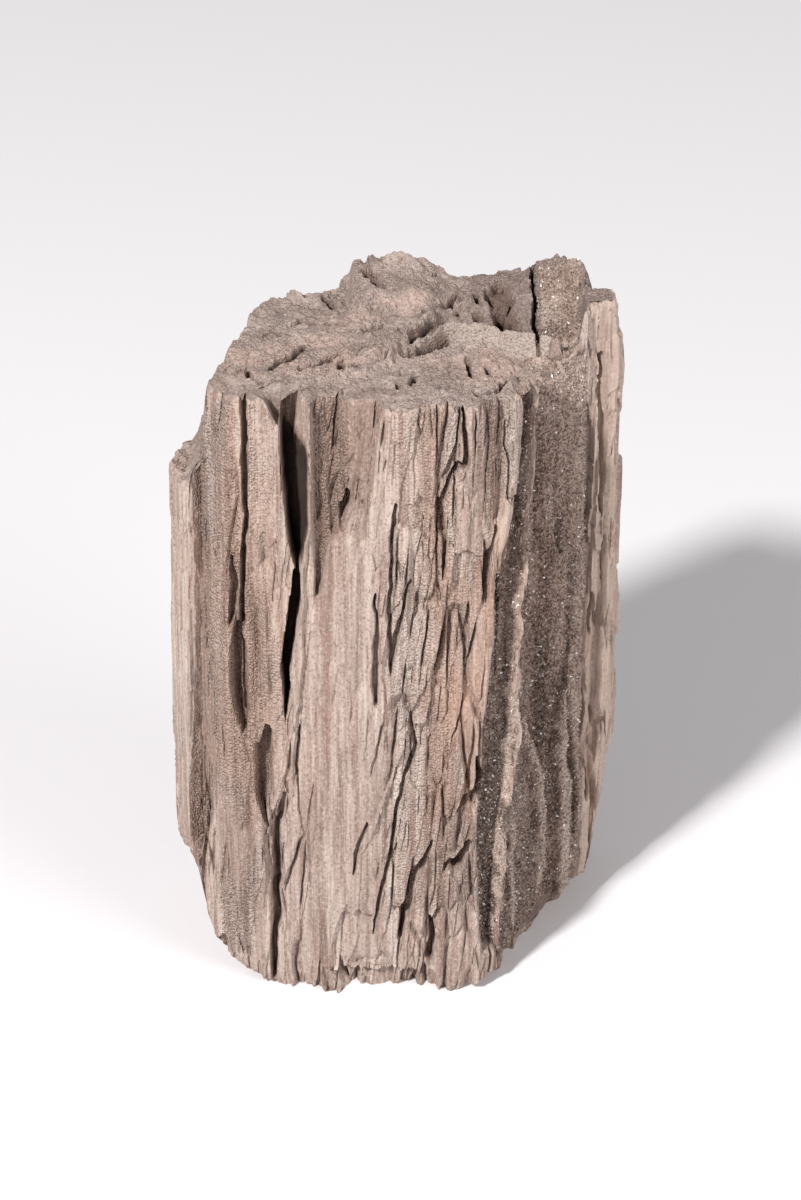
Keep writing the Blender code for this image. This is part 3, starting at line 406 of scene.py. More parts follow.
def wall_depth(a, z):
    """how far the wall lies inside the outline"""
    druse = hollow_on_wall(a, z)
    calm = np.maximum(0.75 * band([(330, -54, -16), (200, -56, -16), (20, -60, -12)], a, z, 7),
                      0.6 * band([(420, -205, -136), (60, -205, -140)], a, z, 8))
    combed = band([(440, -132, -70), (190, -130, -72), (120, -126, -92), (30, -120, -96)], a, z, 6)
    split = (1 - 0.9 * druse) * (1 - calm)
    plates = split * (1 - 0.6 * combed)
    coarse, coarse_gaps = splinters(*wander(a, z, 1.0), 25, 170, 11)
    middle, middle_gaps = splinters(*wander(a, z, 0.7), 10, 75, 12)
    fine, fine_gaps = splinters(*wander(a, z, 0.3), 4.6, 40, 14)
    depth = plates * (2.6 * coarse + 1.9 * middle + 0.8 * fine
                      + 5 * coarse_gaps + 5 * middle_gaps + 1.8 * fine_gaps)
    depth += split * (0.8 * flutes(a, z, 7, 150, 13) + 0.35 * flutes(a, z, 2.4, 60, 15))
    depth += combed * (1.5 * flutes(a, z, 9, 400, 16) + 1.1 * flutes(a, z, 4.4, 300, 17)
                       + 0.5 * flutes(a, z, 2.2, 120, 18))
    # the left side leans out towards the foot, and the foot tucks in at the right
    depth += 5.0 * band([(900, -260, -120), (-900, -260, -120)], a, z, 30) * (z - 120) / 300
    depth += 7.0 * band([(60, 58, 130), (-60, 58, 130)], a, z, 12) * smooth(70, 0, z)
    depth += 4.0 * band([(900, 180, 262), (-900, 180, 262)], a, z, 10) * smooth(360, 420, z)
    depth -= 2.5 * band([(230, 172, 215), (110, 172, 215)], a, z, 12)
    depth += CHANNEL_DEPTH * broad_channel(a, z) + 10 * band(NARROW_HOLLOW, a, z, 3)
    depth -= 4 * np.exp(-((a - 148) / 10) ** 4 - ((z - 287) / 16) ** 4)
    shaken = wander(a, z, 0.9)
    for amount, blur, rows in SHEETS:
        depth += amount * band(rows, *shaken, blur)
    for rise, flat, path in RIBS:
        depth -= rise * stroke(path, *shaken, flat)
    depth += druse * (0.9 * lumps(a, z, 9, 81) + 0.7 * lumps(a, z, 3, 84))
    depth += 1.6 * band(BROAD_HOLLOW, a, z, 4) * flutes(a, z, 16, 110, 21)
    return depth + np.maximum(all_cuts(a, z), SPLIT_DEPTH * main_split(*shaken))


def shaken_top(x, y):
    """places on the top shaken a little, so that no pit has a plain shape"""
    return x + 2.2 * lumps(x, y, 6, 33), y + 2.2 * lumps(x, y, 6, 36)


def top_height(x, y):
    """height of the broken top"""
    height = RIM_HEIGHT + BLOCK_RISE * (smooth(-33, -28, x) * smooth(36, 4, x)
                                        * smooth(32, 50, y - 0.25 * x))
    height += PEAK_RISE * np.exp(-((x - 100) / 18) ** 2) * smooth(0, 95, y)
    # the left block's corner is broken off beside the main split
    height -= 15 * smooth(-81, -71, x) * smooth(-69.5, -70.5, x) * smooth(-60, -68, y)
    # the planks at the right stand higher, and behind them the corner is gone
    height += PLANK_RISE * smooth(107, 111, x) * smooth(40, 24, y)
    height -= 20 * smooth(33, 45, y) * smooth(111, 124, x)
    # the basin lies behind the crest of the ledge, and a hollow front of it
    ledge = y - np.interp(x, *np.array(CREST, float).T)
    basin = smooth(16, 30, x) * smooth(118, 96, x) * smooth(0, 4, ledge) * smooth(66, 30, ledge)
    front = smooth(16, 40, x) * smooth(112, 108, x) * smooth(0, -4, ledge) * smooth(-40, -12, ledge)
    height -= (8 - 1.8 * lumps(x, y, 5, 43)) * basin + (4 + 7 * smooth(50, 92, x)) * front
    u, v = shaken_top(x, y)
    for depth, path in TOP_CUTS:
        height -= 1.25 * depth * stroke(path, u, v, 0.5)
    for rise, path in TOP_RIDGES:
        height += rise * stroke(path, u, v, 0.1)
    # crumbled stone: lumps of every size with small pits between them
    calm = 1 - 0.75 * band(TOP_HOLLOW, x, y, 4)
    height += calm * (2.0 * lumps(x * 0.8 - y * 0.6, x * 0.35 + y * 0.45, 14, 31)
                      + 1.3 * lumps(x, y, 4.5, 35) + 0.7 * lumps(x, y, 1.8, 38))
    level, middle, _ = cells(x / 7, y / 7, 64, 39)
    height -= calm * 3.2 * smooth(0.34, 0.12, middle) * smooth(0.2, 0.7, level)
    height -= 2 * band(TOP_HOLLOW, x, y, 4)
    height -= 11 * smooth(-120, -129, x)
    broken = smooth(0, 10, np.interp(y, *np.array(SHOULDER_EDGE, float).T) - x
                    + 3 * lumps(x, y, 11, 41))
    return height - broken * (SHOULDER_DROP + 0.10 * (y + 40) - 5 * lumps(x, y, 22, 51))


def foot_height(x, y):
    """height of the underside, flat where the log stands"""
    foot = np.interp(x, *np.array(FOOT, float).T)
    foot += 13 * smooth(36, 60, x) * smooth(-62, -84, y)
    return foot + smooth(3, 12, foot) * (3 * lumps(x, y, 18, 61) + 1.2 * lumps(x, y, 5, 64))


def evaluated_mesh(thing):
    """the object's mesh as its modifiers leave it"""
    bpy.context.view_layer.update()
    ready = thing.evaluated_get(bpy.context.evaluated_depsgraph_get())
    return bpy.data.meshes.new_from_object(ready)


def read_points(mesh):
    """the mesh's points, one a row"""
    points = np.empty(len(mesh.vertices) * 3)
    mesh.vertices.foreach_get("co", points)
    return points.reshape(-1, 3)


def write_points(mesh, points):
    """move the mesh's points to the rows given"""
    mesh.vertices.foreach_set("co", points.ravel())
    mesh.update()


def store(mesh, name, values):
    """keep a number for each point of a mesh under a name that its material reads"""
    mesh.attributes.new(name, "FLOAT", "POINT").data.foreach_set("value", values)


def turned_billet(name, columns, wall_rings, top_rings, foot_rings):
    """a round billet: radius 1, with its ends at z = 1 and z = 0, as one Screw-turned mesh"""
    profile = [(r, 1.0) for r in np.arange(top_rings) / top_rings]
    profile += [(1.0, 1 - v) for v in np.arange(wall_rings) / wall_rings]
    profile += [(1 - r, 0.0) for r in np.arange(foot_rings + 1) / foot_rings]
    mesh = bpy.data.meshes.new(name)
    mesh.from_pydata([(r, 0, z) for r, z in profile],
                     [(i, i + 1) for i in range(len(profile) - 1)], [])
    billet = bpy.data.objects.new(name, mesh)
    bpy.context.scene.collection.objects.link(billet)
    turn = billet.modifiers.new("turn", "SCREW")
    turn.steps = turn.render_steps = columns
    turn.use_merge_vertices = True
    turn.merge_threshold = 0.0001
    turned = evaluated_mesh(billet)
    bpy.data.objects.remove(billet)
    bpy.data.meshes.remove(mesh)
    return turned


def shape_log(mesh):
    """move the billet's points to the log's surface, and keep what the stone's colour needs"""
    x, y, v = read_points(mesh).T
    reach = np.hypot(x, y)
    turn = np.arctan2(x, -y)
    a = (turn - 0.3 * np.sin(turn)) / (2 * np.pi) * GIRTH
    rim = at(EDGE, a)
    inward = at(INWARD, a)
    middle = EDGE.mean(0)
    # depth of the wall at the two rims, then the rims' own heights
    top_rim = rim + inward * wall_depth(a, top_height(*rim.T))[:, None]
    foot_rim = rim + inward * wall_depth(a, foot_height(*rim.T))[:, None]
    top, foot = top_height(*top_rim.T), foot_height(*foot_rim.T)
    z = foot + v * (top - foot)
    chipped = (TOP_CHIP * smooth(4, 0, top - z)
               + smooth(9, 0, z - foot) * (FOOT_CHIP + 1.8 * lumps(a, z * 0.3, 8, 66)))
    wall = rim + inward * (wall_depth(a, z) + chipped)[:, None]
    # an end spreads from the middle to the wall's rim
    at_top = v > 0.5
    chip = np.where(at_top, TOP_CHIP, FOOT_CHIP + 1.8 * lumps(a, foot * 0.3, 8, 66))
    bent = np.where(at_top[:, None], top_rim, foot_rim) - rim + inward * chip[:, None]
    spread = middle + reach[:, None] * (rim - middle) + (reach ** 3)[:, None] * bent
    end_z = np.where(at_top, top_height(*spread.T), foot_height(*spread.T))
    is_end = (reach < 0.999) | (v > 0.9999) | (v < 0.0001)
    plan = np.where(is_end[:, None], spread, wall)
    write_points(mesh, np.column_stack([plan - CENTRE, np.where(is_end, end_z, z)]))
    # painted shade: the top's pits, the main split and the deeper cuts are darkened where shade falls in
    # them
    painted_pit_shade = np.zeros(a.shape)
    for depth, path in TOP_CUTS:
        painted_pit_shade = np.maximum(painted_pit_shade, min(1, depth / 8) * stroke(path, *shaken_top(*spread.T), 0.55))
    u = share_across(SPLIT, *wander(a, z, 0.9))
    # painted shadow in the main split: it fills the split below a rim line that falls to the right, as a
    # cast shadow does
    below_rim = smooth(0, 10, top - 12 - 14 * u - z)
    shade = smooth(-0.05, 0.1, u) * smooth(1.15, 0.95, u) * below_rim * (z > SPLIT_END)
    painted_shade = np.maximum(np.clip((all_cuts(a, z) - 4) / 20, 0, 1), shade)
    store(mesh, "painted_shade", np.where(is_end, painted_pit_shade * at_top, painted_shade))
    # partly the stone's own stain, partly painted shade in the recessed sheets
    stain_and_shade = np.zeros(a.shape)
    for _, _, rows in STAINED_AND_SHADED_SHEETS:
        stain_and_shade = np.maximum(stain_and_shade, band(rows, a, z, 3))
    store(mesh, "stain_and_shade", np.where(is_end, 0.0, stain_and_shade))
    # rows of beads on the left block and the face, and a rosy blush on both
    left_beads = band([(440, -132, -70), (190, -130, -72), (20, -120, -96)], a, z, 6)
    face_beads = 0.7 * band([(440, -8, 80), (60, -8, 80)], a, z, 12)
    beaded = np.maximum(stain_and_shade, np.maximum(left_beads, face_beads))
    store(mesh, "beaded", np.where(is_end, 0.4, beaded))
    blushing = np.maximum(band([(420, 20, 76), (140, 20, 70)], a, z, 14),
                          0.5 * band([(420, -130, -66), (100, -130, -80)], a, z, 14))
    store(mesh, "blush", np.where(is_end, 0.25, 0.15 + 0.85 * blushing))
    rib = stroke(BARE_RIB, a, z, 0.6)
    store(mesh, "druse", np.where(is_end, 0.0, hollow_on_wall(a, z) * (1 - rib)))
    # the planks at the right and the plate in the narrow hollow are pale
    pale = np.maximum(band([(450, 166, 215), (-20, 166, 215)], a, z, 3),
                      stroke(PALE_PLATE, a, z, 0.6))
    store(mesh, "pale", np.where(is_end, 0.0, pale))
    store(mesh, "end", (is_end & at_top) * 1.0)
    # the basin behind the ledge is brown and granular, and the ledge's face is pale
    x, y = spread.T
    ledge = y - np.interp(x, *np.array(CREST, float).T)
    store(mesh, "basin", is_end * at_top * smooth(22, 50, x) * smooth(-1, 3, ledge))
    face = smooth(24, 40, x) * smooth(1, -1, ledge) * smooth(-16, -9, ledge)
    store(mesh, "face", is_end * at_top * face)


class Wire:
    """a shader socket that takes part in sums"""

    def __init__(self, tree, socket):
        self.tree, self.socket = tree, socket

    def maths(self, operation, *others):
        return self.tree.node("ShaderNodeMath", {"operation": operation}, (self, *others))

    def __add__(self, other):
        return self.maths("ADD", other)

    def __sub__(self, other):
        return self.maths("SUBTRACT", other)

    def __rsub__(self, other):
        return self.tree.node("ShaderNodeMath", {"operation": "SUBTRACT"}, (other, self))

    def __mul__(self, other):
        return self.maths("MULTIPLY", other)

    __radd__ = __add__
    __rmul__ = __mul__


class Finish:
    """a material's node tree"""

    def __init__(self, name):
        self.material = bpy.data.materials.new(name)
        self.material.use_nodes = True
        self.tree = self.material.node_tree
        self.surface = self.tree.nodes["Principled BSDF"]

    def node(self, kind, settings, inputs, output=0):
        """add a node: its settings first, then its sockets by number or name"""
        node = self.tree.nodes.new(kind)
        for key, value in settings.items():
            if key == "stops":
                ramp = node.color_ramp
                while len(ramp.elements) > 1:
                    ramp.elements.remove(ramp.elements[-1])
                for number, (place, colour) in enumerate(value):
                    stop = ramp.elements[0] if number == 0 else ramp.elements.new(place)
                    stop.position = place
                    stop.color = (*colour, 1)
            else:
                setattr(node, key, value)
        for key, value in (inputs.items() if isinstance(inputs, dict) else enumerate(inputs)):
            self.feed(node.inputs[key], value)
        return Wire(self, node.outputs[output])

    def feed(self, socket, value):
        """link a socket, or set its value"""
        if isinstance(value, Wire):
            self.tree.links.new(value.socket, socket)
        else:
            socket.default_value = value

    def mix(self, share, first, second):
        """blend two colours"""
        first, second = ((*c, 1) if isinstance(c, tuple) else c for c in (first, second))
        return self.node("ShaderNodeMix", {"data_type": "RGBA", "clamp_factor": True},
                         {0: share, 6: first, 7: second}, 2)

    def attribute(self, name):
        """a number that the mesh keeps for each of its points"""
        return self.node("ShaderNodeAttribute", {"attribute_name": name}, {}, 2)

    def place(self, scale):
        """the place on the piece, stretched by a scale along X, Y and Z"""
        spot = self.node("ShaderNodeTexCoord", {}, {}, 3)
        return self.node("ShaderNodeMapping", {}, {0: spot, 3: scale})

    def noise(self, scale, stretch, detail, roughness, distortion=0.0):
        return self.node("ShaderNodeTexNoise", {}, {"Vector": self.place(stretch), "Scale": scale,
                         "Detail": detail, "Roughness": roughness, "Distortion": distortion})

    def step(self, value, low, high):
        """0 to 1 as a value goes from low to high"""
        return self.node("ShaderNodeMapRange", {"interpolation_type": "SMOOTHSTEP"},
                         {0: value, 1: low, 2: high})

    def set(self, **sockets):
        """feed the surface's sockets by name"""
        for name, value in sockets.items():
            self.feed(self.surface.inputs[name.replace("_", " ")], value)


def stone_finish():
    """streaked along the grain, ashen and crumbly on the top, with painted shade darkening its cuts, pits
    and main split
    """
    stone = Finish("petrified wood")
    streaks = stone.noise(120, (1, 1, 0.05), 6, 0.65)
    broad_streaks = stone.noise(38, (1, 1, 0.06), 4, 0.6)
    patches = stone.noise(16, (1, 1, 0.25), 4, 0.6)
    lines = stone.noise(420, (1, 1, 0.025), 4, 0.65)
    sand = stone.noise(620, (1, 1, 0.8), 3, 0.75)
    colour = stone.node("ShaderNodeValToRGB", {"stops": [
        (0.41, (0.21, 0.142, 0.112)), (0.47, (0.34, 0.252, 0.212)), (0.53, (0.43, 0.335, 0.288)),
        (0.59, (0.55, 0.455, 0.40))]},
        {0: streaks * 0.40 + broad_streaks * 0.30 + lines * 0.30})
    tint = stone.noise(210, (1, 1, 0.035), 5, 0.7, 0.4)
    colour = stone.mix(stone.step(tint, 0.54, 0.66) * 0.5, colour, (0.57, 0.48, 0.415))
    colour = stone.mix(stone.step(tint, 0.46, 0.38) * 0.7, colour, (0.26, 0.165, 0.130))
    blush = stone.step(patches, 0.47, 0.60) * stone.attribute("blush")
    colour = stone.mix(blush * 0.65, colour, (0.44, 0.27, 0.195))
    # brown under the recessed sheets: partly the stone's own stain, partly painted shade
    colour = stone.mix(stone.attribute("stain_and_shade") * 0.7, colour, (0.25, 0.165, 0.128))
    colour = stone.mix(stone.step(patches, 0.48, 0.3) * 0.4, colour, (0.33, 0.262, 0.228))
    top = stone.attribute("end")
    crumbs = stone.noise(45, (1, 1, 1), 5, 0.65)
    ashen = stone.mix(stone.step(crumbs, 0.38, 0.62), (0.27, 0.205, 0.175), (0.42, 0.335, 0.295))
    rosy = (stone.step(stone.noise(14, (1, 1, 1), 3, 0.5), 0.50, 0.62)
            * stone.step(crumbs, 0.40, 0.55))
    ashen = stone.mix(rosy * 0.6, ashen, (0.46, 0.315, 0.26))
    ashen = stone.mix(stone.attribute("basin") * 0.85, ashen, (0.215, 0.160, 0.140))
    ashen = stone.mix(stone.attribute("face") * 0.7, ashen, (0.47, 0.395, 0.34))
    colour = stone.mix(top * 0.85, colour, ashen)
    colour = stone.mix(stone.step(sand, 0.55, 0.66) * 0.5, colour, (0.62, 0.53, 0.47))
    colour = stone.mix(stone.step(sand, 0.47, 0.35) * 0.6, colour, (0.14, 0.09, 0.070))
    # painted shade: cuts, pits and the main split turn brown, then nearly black, as they deepen
    painted_shade = stone.attribute("painted_shade")
    colour = stone.mix(stone.step(painted_shade, 0.05, 0.45) * 0.6, colour, (0.17, 0.10, 0.075))
    colour = stone.mix(stone.step(painted_shade, 0.5, 0.95) * 0.92, colour, (0.022, 0.013, 0.010))
    colour = stone.mix(stone.attribute("pale") * 0.32, colour, (0.62, 0.49, 0.41))
    colour = stone.mix(stone.attribute("druse") * 0.9, colour, (0.15, 0.105, 0.088))
    beads = stone.node("ShaderNodeTexVoronoi", {}, {"Vector": stone.place((1, 1, 0.85)), "Scale": 620,
                       "Randomness": 0.7})
    beaded = stone.step(stone.noise(30, (1, 1, 0.2), 3, 0.5), 0.36, 0.50) * stone.attribute("beaded")
    crumble = stone.noise(260, (1, 1, 1), 4, 0.75) * 1.3
    bump = stone.node("ShaderNodeBump", {}, {"Strength": 1.0, "Distance": 0.0015,
                      "Height": (streaks * 0.6 + lines * 0.5) * (1 - top) + crumble * top
                      + sand * 0.5 - beads * beaded * 1.8})
    stone.set(Base_Color=colour, Roughness=0.86, Normal=bump)
    stone.surface.inputs["Specular IOR Level"].default_value = 0.25
    return stone.material


COLUMNS, WALL_RINGS, TOP_RINGS, FOOT_RINGS = 920, 360, 160, 26
LOG_TRIANGLES = 194000
fine = turned_billet("log_stone", COLUMNS, WALL_RINGS, TOP_RINGS, FOOT_RINGS)
shape_log(fine)
write_points(fine, read_points(fine) * MM)
log = bpy.data.objects.new("log_stone", fine)
bpy.context.scene.collection.objects.link(log)
thin = log.modifiers.new("thin", "DECIMATE")
thin.ratio = LOG_TRIANGLES / sum(len(face.vertices) - 2 for face in fine.polygons)
log.data = evaluated_mesh(log)
log.modifiers.remove(thin)
log.data.materials.append(stone_finish())
log.data.shade_smooth()
log.data.set_sharp_from_angle(angle=radians(38))
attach(log, "root")
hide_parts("log")

# ------------------------------------------------------------------------------------------
# The druse: crusts of small smoky quartz crystals that grew in the two hollows of the wall and
# in the one on the top. Each crust is a skin that follows the stone, set thick with crystals.
# ------------------------------------------------------------------------------------------
CRUST = 2.6               # thickness of a crust
RISE = 1.9                # its middle above its edge
SINK = 1.3                # its edge below the stone
OVERLAP = 2               # its edge past its hollow's edge


def crust_mesh(name, across, along, place_points):
    """a skin of druse: a grid laid on the stone, sunk into it round its edges"""
    bpy.ops.mesh.primitive_grid_add(x_subdivisions=across, y_subdivisions=along, size=2)
    skin = bpy.context.object
    skin.name = name
    points = read_points(skin.data)
    u, v = (points[:, 0] + 1) / 2, (points[:, 1] + 1) / 2
    spots, lift, pale = place_points(u, v)
    write_points(skin.data, spots)
    store(skin.data, "growth", lift)
    store(skin.data, "pale", pale)
    return skin


def on_wall(rows, painted_hollow_shade):
    """places a wall hollow's grid on the stone; its second argument is painted shade that darkens the whole
    crust and its crystals, standing in for the shadow the hollow lies in
    """
    table = np.array(rows[::-1], float)

    def place_points(u, v):
        z = table[0, 0] + v * (table[-1, 0] - table[0, 0])
        left, right = (np.interp(z, table[:, 0], table[:, i]) for i in (1, 2))
        a = left - OVERLAP + u * (right - left + 2 * OVERLAP)
        # the lower end follows the log's broken foot
        above = foot_height(*at(EDGE, a).T) + 3 - table[0, 0]
        z = z + np.maximum(above, 0) * np.clip(1 - (z - table[0, 0]) / 130, 0, 1)
        ragged = 1.6 * lumps(a, z, 12, 88)
        lift = (smooth(0, 3, np.minimum(a - left, right - a) + OVERLAP + ragged)
                * smooth(0, 5, np.minimum(v * 380, table[-1, 0] - z)))
        depth = wall_depth(a, z) - RISE * lift + SINK
        depth = depth - 0.7 * lift * lumps(a, z, 3.2, 91) - 0.5 * lift * lumps(a, z, 1.3, 94)
        wall = at(EDGE, a) + at(INWARD, a) * depth[:, None]
        # paler on its ribs, partly their own colour and partly painted light; paler towards its right edge
        # as painted light on the lit strip there
        spot = a + 3 * lumps(a, z, 14, 61), z
        pale = 0.5 * smooth(150, 158, spot[0])
        for _, _, path in RIBS:
            pale = np.maximum(pale, (0.8 + 0.2 * smooth(250, 150, z)) * stroke(path, *spot, 0.3))
        # darker in patches low down; darker in its cracks and over a shaded hollow as painted shade
        low = smooth(260, 150, z) * (0.5 + 0.4 * lumps(a, z * 0.3, 9, 58))
        dark_and_painted_shade = np.clip(painted_hollow_shade + np.maximum(all_cuts(a, z) / 7, low), 0, 1)
        return np.column_stack([wall - CENTRE, z]), lift, np.where(pale > 0.4, pale, pale - dark_and_painted_shade)
    return place_points


def on_top(rows):
    """places the top hollow's grid on the stone"""
    table = np.array(rows[::-1], float)

    def place_points(u, v):
        y = table[0, 0] + v * (table[-1, 0] - table[0, 0])
        left, right = (np.interp(y, table[:, 0], table[:, i]) for i in (1, 2))
        x = left - OVERLAP + u * (right - left + 2 * OVERLAP)
        ragged = 1.6 * lumps(x, y, 12, 88)
        lift = (smooth(0, 3, np.minimum(x - left, right - x) + OVERLAP + ragged)
                * smooth(0, 5, np.minimum(y - table[0, 0], table[-1, 0] - y)))
        z = top_height(x, y) + RISE * lift - SINK + 0.6 * lift * lumps(x, y, 3.2, 97)
        return np.column_stack([x - CENTRE[0], y - CENTRE[1], z]), lift, np.full(x.shape, 0.3)
    return place_points


def druse_finish():
    """the skin that the crystals stand on: brown, with dark and pale grains"""
    druse = Finish("druse quartz")
    patches = druse.noise(60, (1, 1, 0.14), 5, 0.65)
    grains = druse.noise(700, (1, 1, 1), 3, 0.7)
    colour = druse.node("ShaderNodeValToRGB", {"stops": [
        (0.36, (0.130, 0.078, 0.058)), (0.48, (0.265, 0.172, 0.134)), (0.56, (0.345, 0.25, 0.205)),
        (0.66, (0.46, 0.36, 0.31))]}, {0: patches})
    pale = druse.attribute("pale")
    # a positive pale lightens the skin: partly the ribs' own colour, partly painted light on the ribs and
    # at the right edge
    colour = druse.mix(pale * 0.85, colour, (0.47, 0.37, 0.315))
    # a negative pale darkens the skin: real dark patches low down, and painted shade in its cracks and in
    # the narrow hollow
    colour = druse.mix(pale * -0.8, colour, (0.075, 0.048, 0.038))
    colour = druse.mix(druse.step(grains, 0.49, 0.38) * 0.7, colour, (0.07, 0.045, 0.035))
    colour = druse.mix(druse.step(grains, 0.53, 0.64) * 0.55, colour, (0.52, 0.43, 0.375))
    bump = druse.node("ShaderNodeBump", {}, {"Strength": 0.9, "Distance": 0.0008, "Height": grains})
    druse.set(Base_Color=colour, Roughness=0.6, Normal=bump)
    druse.surface.inputs["Specular IOR Level"].default_value = 0.3
    return druse.material


def crystal_finish():
    """the crystals: as brown as the skin, each a little paler or darker, a few of them painted white as
    glints
    """
    crystal = Finish("quartz crystals")
    patches = crystal.noise(60, (1, 1, 0.14), 5, 0.65)
    body = crystal.node("ShaderNodeValToRGB", {"stops": [
        (0.36, (0.100, 0.060, 0.044)), (0.48, (0.22, 0.142, 0.108)), (0.56, (0.305, 0.22, 0.18)),
        (0.66, (0.43, 0.34, 0.29))]}, {0: patches})
    luck = crystal.attribute("luck")
    pale = crystal.attribute("pale")
    # a positive pale lightens the crystals: partly the ribs' own colour, partly painted light on the ribs
    # and at the right edge
    body = crystal.mix(pale * 0.8, body, (0.47, 0.37, 0.315))
    # a negative pale darkens the crystals: real dark patches low down, and painted shade in cracks and in
    # the narrow hollow
    body = crystal.mix(pale * -0.8, body, (0.06, 0.038, 0.03))
    colour = crystal.mix(crystal.step(luck, 0.45, 1.0) * 0.65, body, (0.58, 0.475, 0.405))
    colour = crystal.mix(crystal.step(luck, 0.35, 0.0) * 0.6, colour, (0.055, 0.033, 0.025))
    # painted highlight: about one crystal in fifty is coloured near-white to stand in for a glint
    colour = crystal.mix(crystal.step(luck, 0.978, 0.982), colour, (0.95, 0.93, 0.90))
    crystal.set(Base_Color=colour, Roughness=0.3)
    crystal.surface.inputs["Specular IOR Level"].default_value = 0.4
    return crystal.material


def crystal_growth():
    """node group: six-sided crystals scattered over a skin, leaning all ways"""
    group = bpy.data.node_groups.new("crystal growth", "GeometryNodeTree")
    face = group.interface
    face.new_socket("Skin", in_out="INPUT", socket_type="NodeSocketGeometry")
    for name, kind, value in [("Crystals per square metre", "NodeSocketFloat", 400000.0),
                              ("Width", "NodeSocketFloat", 0.0012), ("Height", "NodeSocketFloat", 0.0015),
                              ("Lean", "NodeSocketFloat", 0.8), ("Seed", "NodeSocketInt", 1)]:
        face.new_socket(name, in_out="INPUT", socket_type=kind).default_value = value
    face.new_socket("Finish", in_out="INPUT", socket_type="NodeSocketMaterial")
    face.new_socket("Crystals", in_out="OUTPUT", socket_type="NodeSocketGeometry")
    nodes, links = group.nodes, group.links
    given = nodes.new("NodeGroupInput")
    scatter = nodes.new("GeometryNodeDistributePointsOnFaces")
    growth = nodes.new("GeometryNodeInputNamedAttribute")
    growth.inputs["Name"].default_value = "growth"
    amount = nodes.new("ShaderNodeMath")
    amount.operation = "MULTIPLY"
    links.new(given.outputs["Crystals per square metre"], amount.inputs[0])
    links.new(growth.outputs["Attribute"], amount.inputs[1])
    links.new(given.outputs["Skin"], scatter.inputs["Mesh"])
    links.new(amount.outputs[0], scatter.inputs["Density"])
    links.new(given.outputs["Seed"], scatter.inputs["Seed"])
    lean = nodes.new("FunctionNodeRandomValue")
    lean.data_type = "FLOAT_VECTOR"
    lean.inputs[0].default_value = (-1, -1, -1)
    lean.inputs[1].default_value = (1, 1, 1)
    tilt = nodes.new("ShaderNodeVectorMath")
    tilt.operation = "SCALE"
    links.new(lean.outputs[0], tilt.inputs[0])
    links.new(given.outputs["Lean"], tilt.inputs["Scale"])
    way = nodes.new("ShaderNodeVectorMath")
    links.new(tilt.outputs[0], way.inputs[0])
    links.new(scatter.outputs["Normal"], way.inputs[1])
    turn = nodes.new("FunctionNodeAlignRotationToVector")
    turn.axis = "Z"
    links.new(way.outputs[0], turn.inputs["Vector"])
    shape = nodes.new("GeometryNodeMeshCone")
    shape.inputs["Vertices"].default_value = 6
    shape.inputs["Radius Top"].default_value = 0.0
    half = nodes.new("ShaderNodeMath")
    half.operation = "MULTIPLY"
    half.inputs[1].default_value = 0.5
    links.new(given.outputs["Width"], half.inputs[0])
    links.new(half.outputs[0], shape.inputs["Radius Bottom"])
    links.new(given.outputs["Height"], shape.inputs["Depth"])
    size = nodes.new("FunctionNodeRandomValue")
    size.inputs[2].default_value = 0.5
    size.inputs[3].default_value = 1.35
    put = nodes.new("GeometryNodeInstanceOnPoints")
    links.new(scatter.outputs["Points"], put.inputs["Points"])
    links.new(shape.outputs["Mesh"], put.inputs["Instance"])
    links.new(turn.outputs[0], put.inputs["Rotation"])
    links.new(size.outputs[1], put.inputs["Scale"])
    luck = nodes.new("FunctionNodeRandomValue")
    luck.inputs["Seed"].default_value = 5
    keep = nodes.new("GeometryNodeStoreNamedAttribute")
    keep.domain = "INSTANCE"
    keep.inputs["Name"].default_value = "luck"
    links.new(put.outputs[0], keep.inputs["Geometry"])
    links.new(luck.outputs[1], keep.inputs["Value"])
    solid = nodes.new("GeometryNodeRealizeInstances")
    links.new(keep.outputs[0], solid.inputs[0])
    dress = nodes.new("GeometryNodeSetMaterial")
    links.new(solid.outputs[0], dress.inputs["Geometry"])
    links.new(given.outputs["Finish"], dress.inputs["Material"])
    done = nodes.new("NodeGroupOutput")
    links.new(dress.outputs[0], done.inputs[0])
    return group


def grow(skin, name, finish, settings):
    """crystals over a skin, as a plain mesh of their own"""
    crystals = bpy.data.objects.new(name, skin.data.copy())
    bpy.context.scene.collection.objects.link(crystals)
    modifier = crystals.modifiers.new("growth", "NODES")
    modifier.node_group = growing
    for item in growing.interface.items_tree:
        if item.item_type == "SOCKET" and item.name in settings:
            modifier[item.identifier] = settings[item.name]
        elif item.item_type == "SOCKET" and item.name == "Finish":
            modifier[item.identifier] = finish
    crystals.data = evaluated_mesh(crystals)
    crystals.modifiers.remove(modifier)
    return crystals


growing = crystal_growth()
druse_stone, quartz = druse_finish(), crystal_finish()
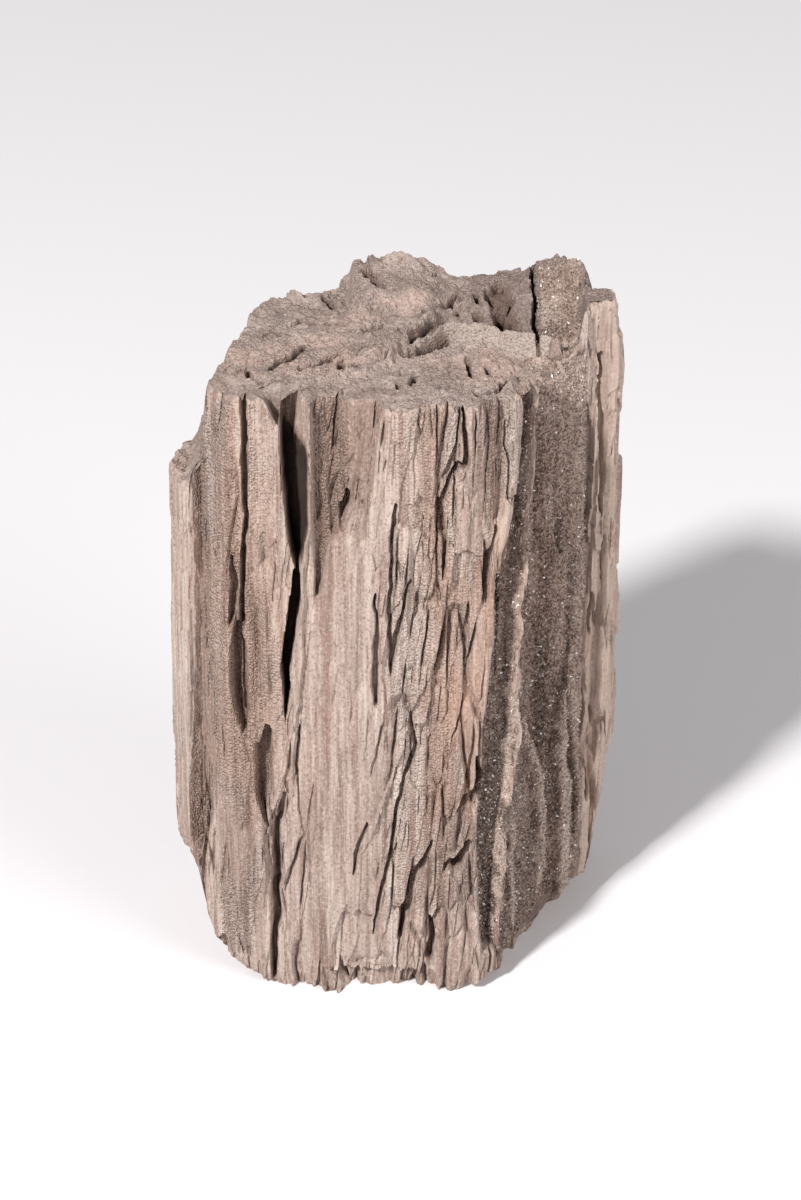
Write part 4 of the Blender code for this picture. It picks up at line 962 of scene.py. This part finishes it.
# Name, grid lines across and along, places, and crystals per square metre
# the number given to on_wall is painted shade: the narrow hollow's crust is darkened as if in shadow
HOLLOWS = [("narrow_hollow", 26, 440, on_wall(NARROW_HOLLOW, 0.5), 500000),
           ("broad_hollow", 96, 400, on_wall(BROAD_HOLLOW, 0.0), 415000),
           ("top_hollow", 44, 130, on_top(TOP_HOLLOW), 400000)]
for seed, (name, across, along, place_points, crowd) in enumerate(HOLLOWS):
    skin = crust_mesh("crust_" + name, across, along, place_points)
    write_points(skin.data, read_points(skin.data) * MM)
    crystals = grow(skin, "crystals_" + name, quartz,
                    {"Crystals per square metre": float(crowd), "Seed": seed})
    shell = skin.modifiers.new("shell", "SOLIDIFY")
    shell.thickness = CRUST * MM
    shell.offset = -1
    skin.data = evaluated_mesh(skin)
    skin.modifiers.remove(shell)
    skin.data.materials.append(druse_stone)
    skin.data.shade_smooth()
    for piece in (skin, crystals):
        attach(piece, "root")
    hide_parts("druse_" + name)

# ------------------------------------------------------------------------------------------
# The studio: a plain pale floor, one key light high at the front left with a soft fill, and
# the camera.
# ------------------------------------------------------------------------------------------
bpy.ops.mesh.primitive_plane_add(size=12)
floor = bpy.context.object
floor.name = "floor"
paper = Finish("pale floor")
paper.set(Base_Color=(0.80, 0.78, 0.79, 1), Roughness=0.9)
floor.data.materials.append(paper.material)

world = bpy.data.worlds.new("studio")
bpy.context.scene.world = world
world.use_nodes = True
world.node_tree.nodes["Background"].inputs["Color"].default_value = (1.0, 0.98, 1.0, 1)
world.node_tree.nodes["Background"].inputs["Strength"].default_value = 0.32

key = bpy.data.objects.new("key", bpy.data.lights.new("key", "AREA"))
bpy.context.scene.collection.objects.link(key)
key.data.shape = "DISK"
key.data.size = 0.75
key.data.energy = 660
key.location = (-3.1, -4.43, 5.1)
key.rotation_euler = (radians(47.5), 0, radians(-35))

fill = bpy.data.objects.new("fill", bpy.data.lights.new("fill", "AREA"))
bpy.context.scene.collection.objects.link(fill)
fill.data.shape = "DISK"
fill.data.size = 2.4
fill.data.energy = 75
fill.location = (2.9, -2.2, 2.2)
fill.rotation_euler = (radians(60), 0, radians(53))

camera = bpy.data.objects.new("camera", bpy.data.cameras.new("camera"))
bpy.context.scene.collection.objects.link(camera)
camera.data.lens = 108
camera.data.sensor_width = 36
camera.location = (0.0028, -1.9274, 1.388)
camera.rotation_euler = (radians(59.1), 0, 0)
bpy.context.scene.camera = camera
bpy.context.scene.view_settings.view_transform = "Standard"
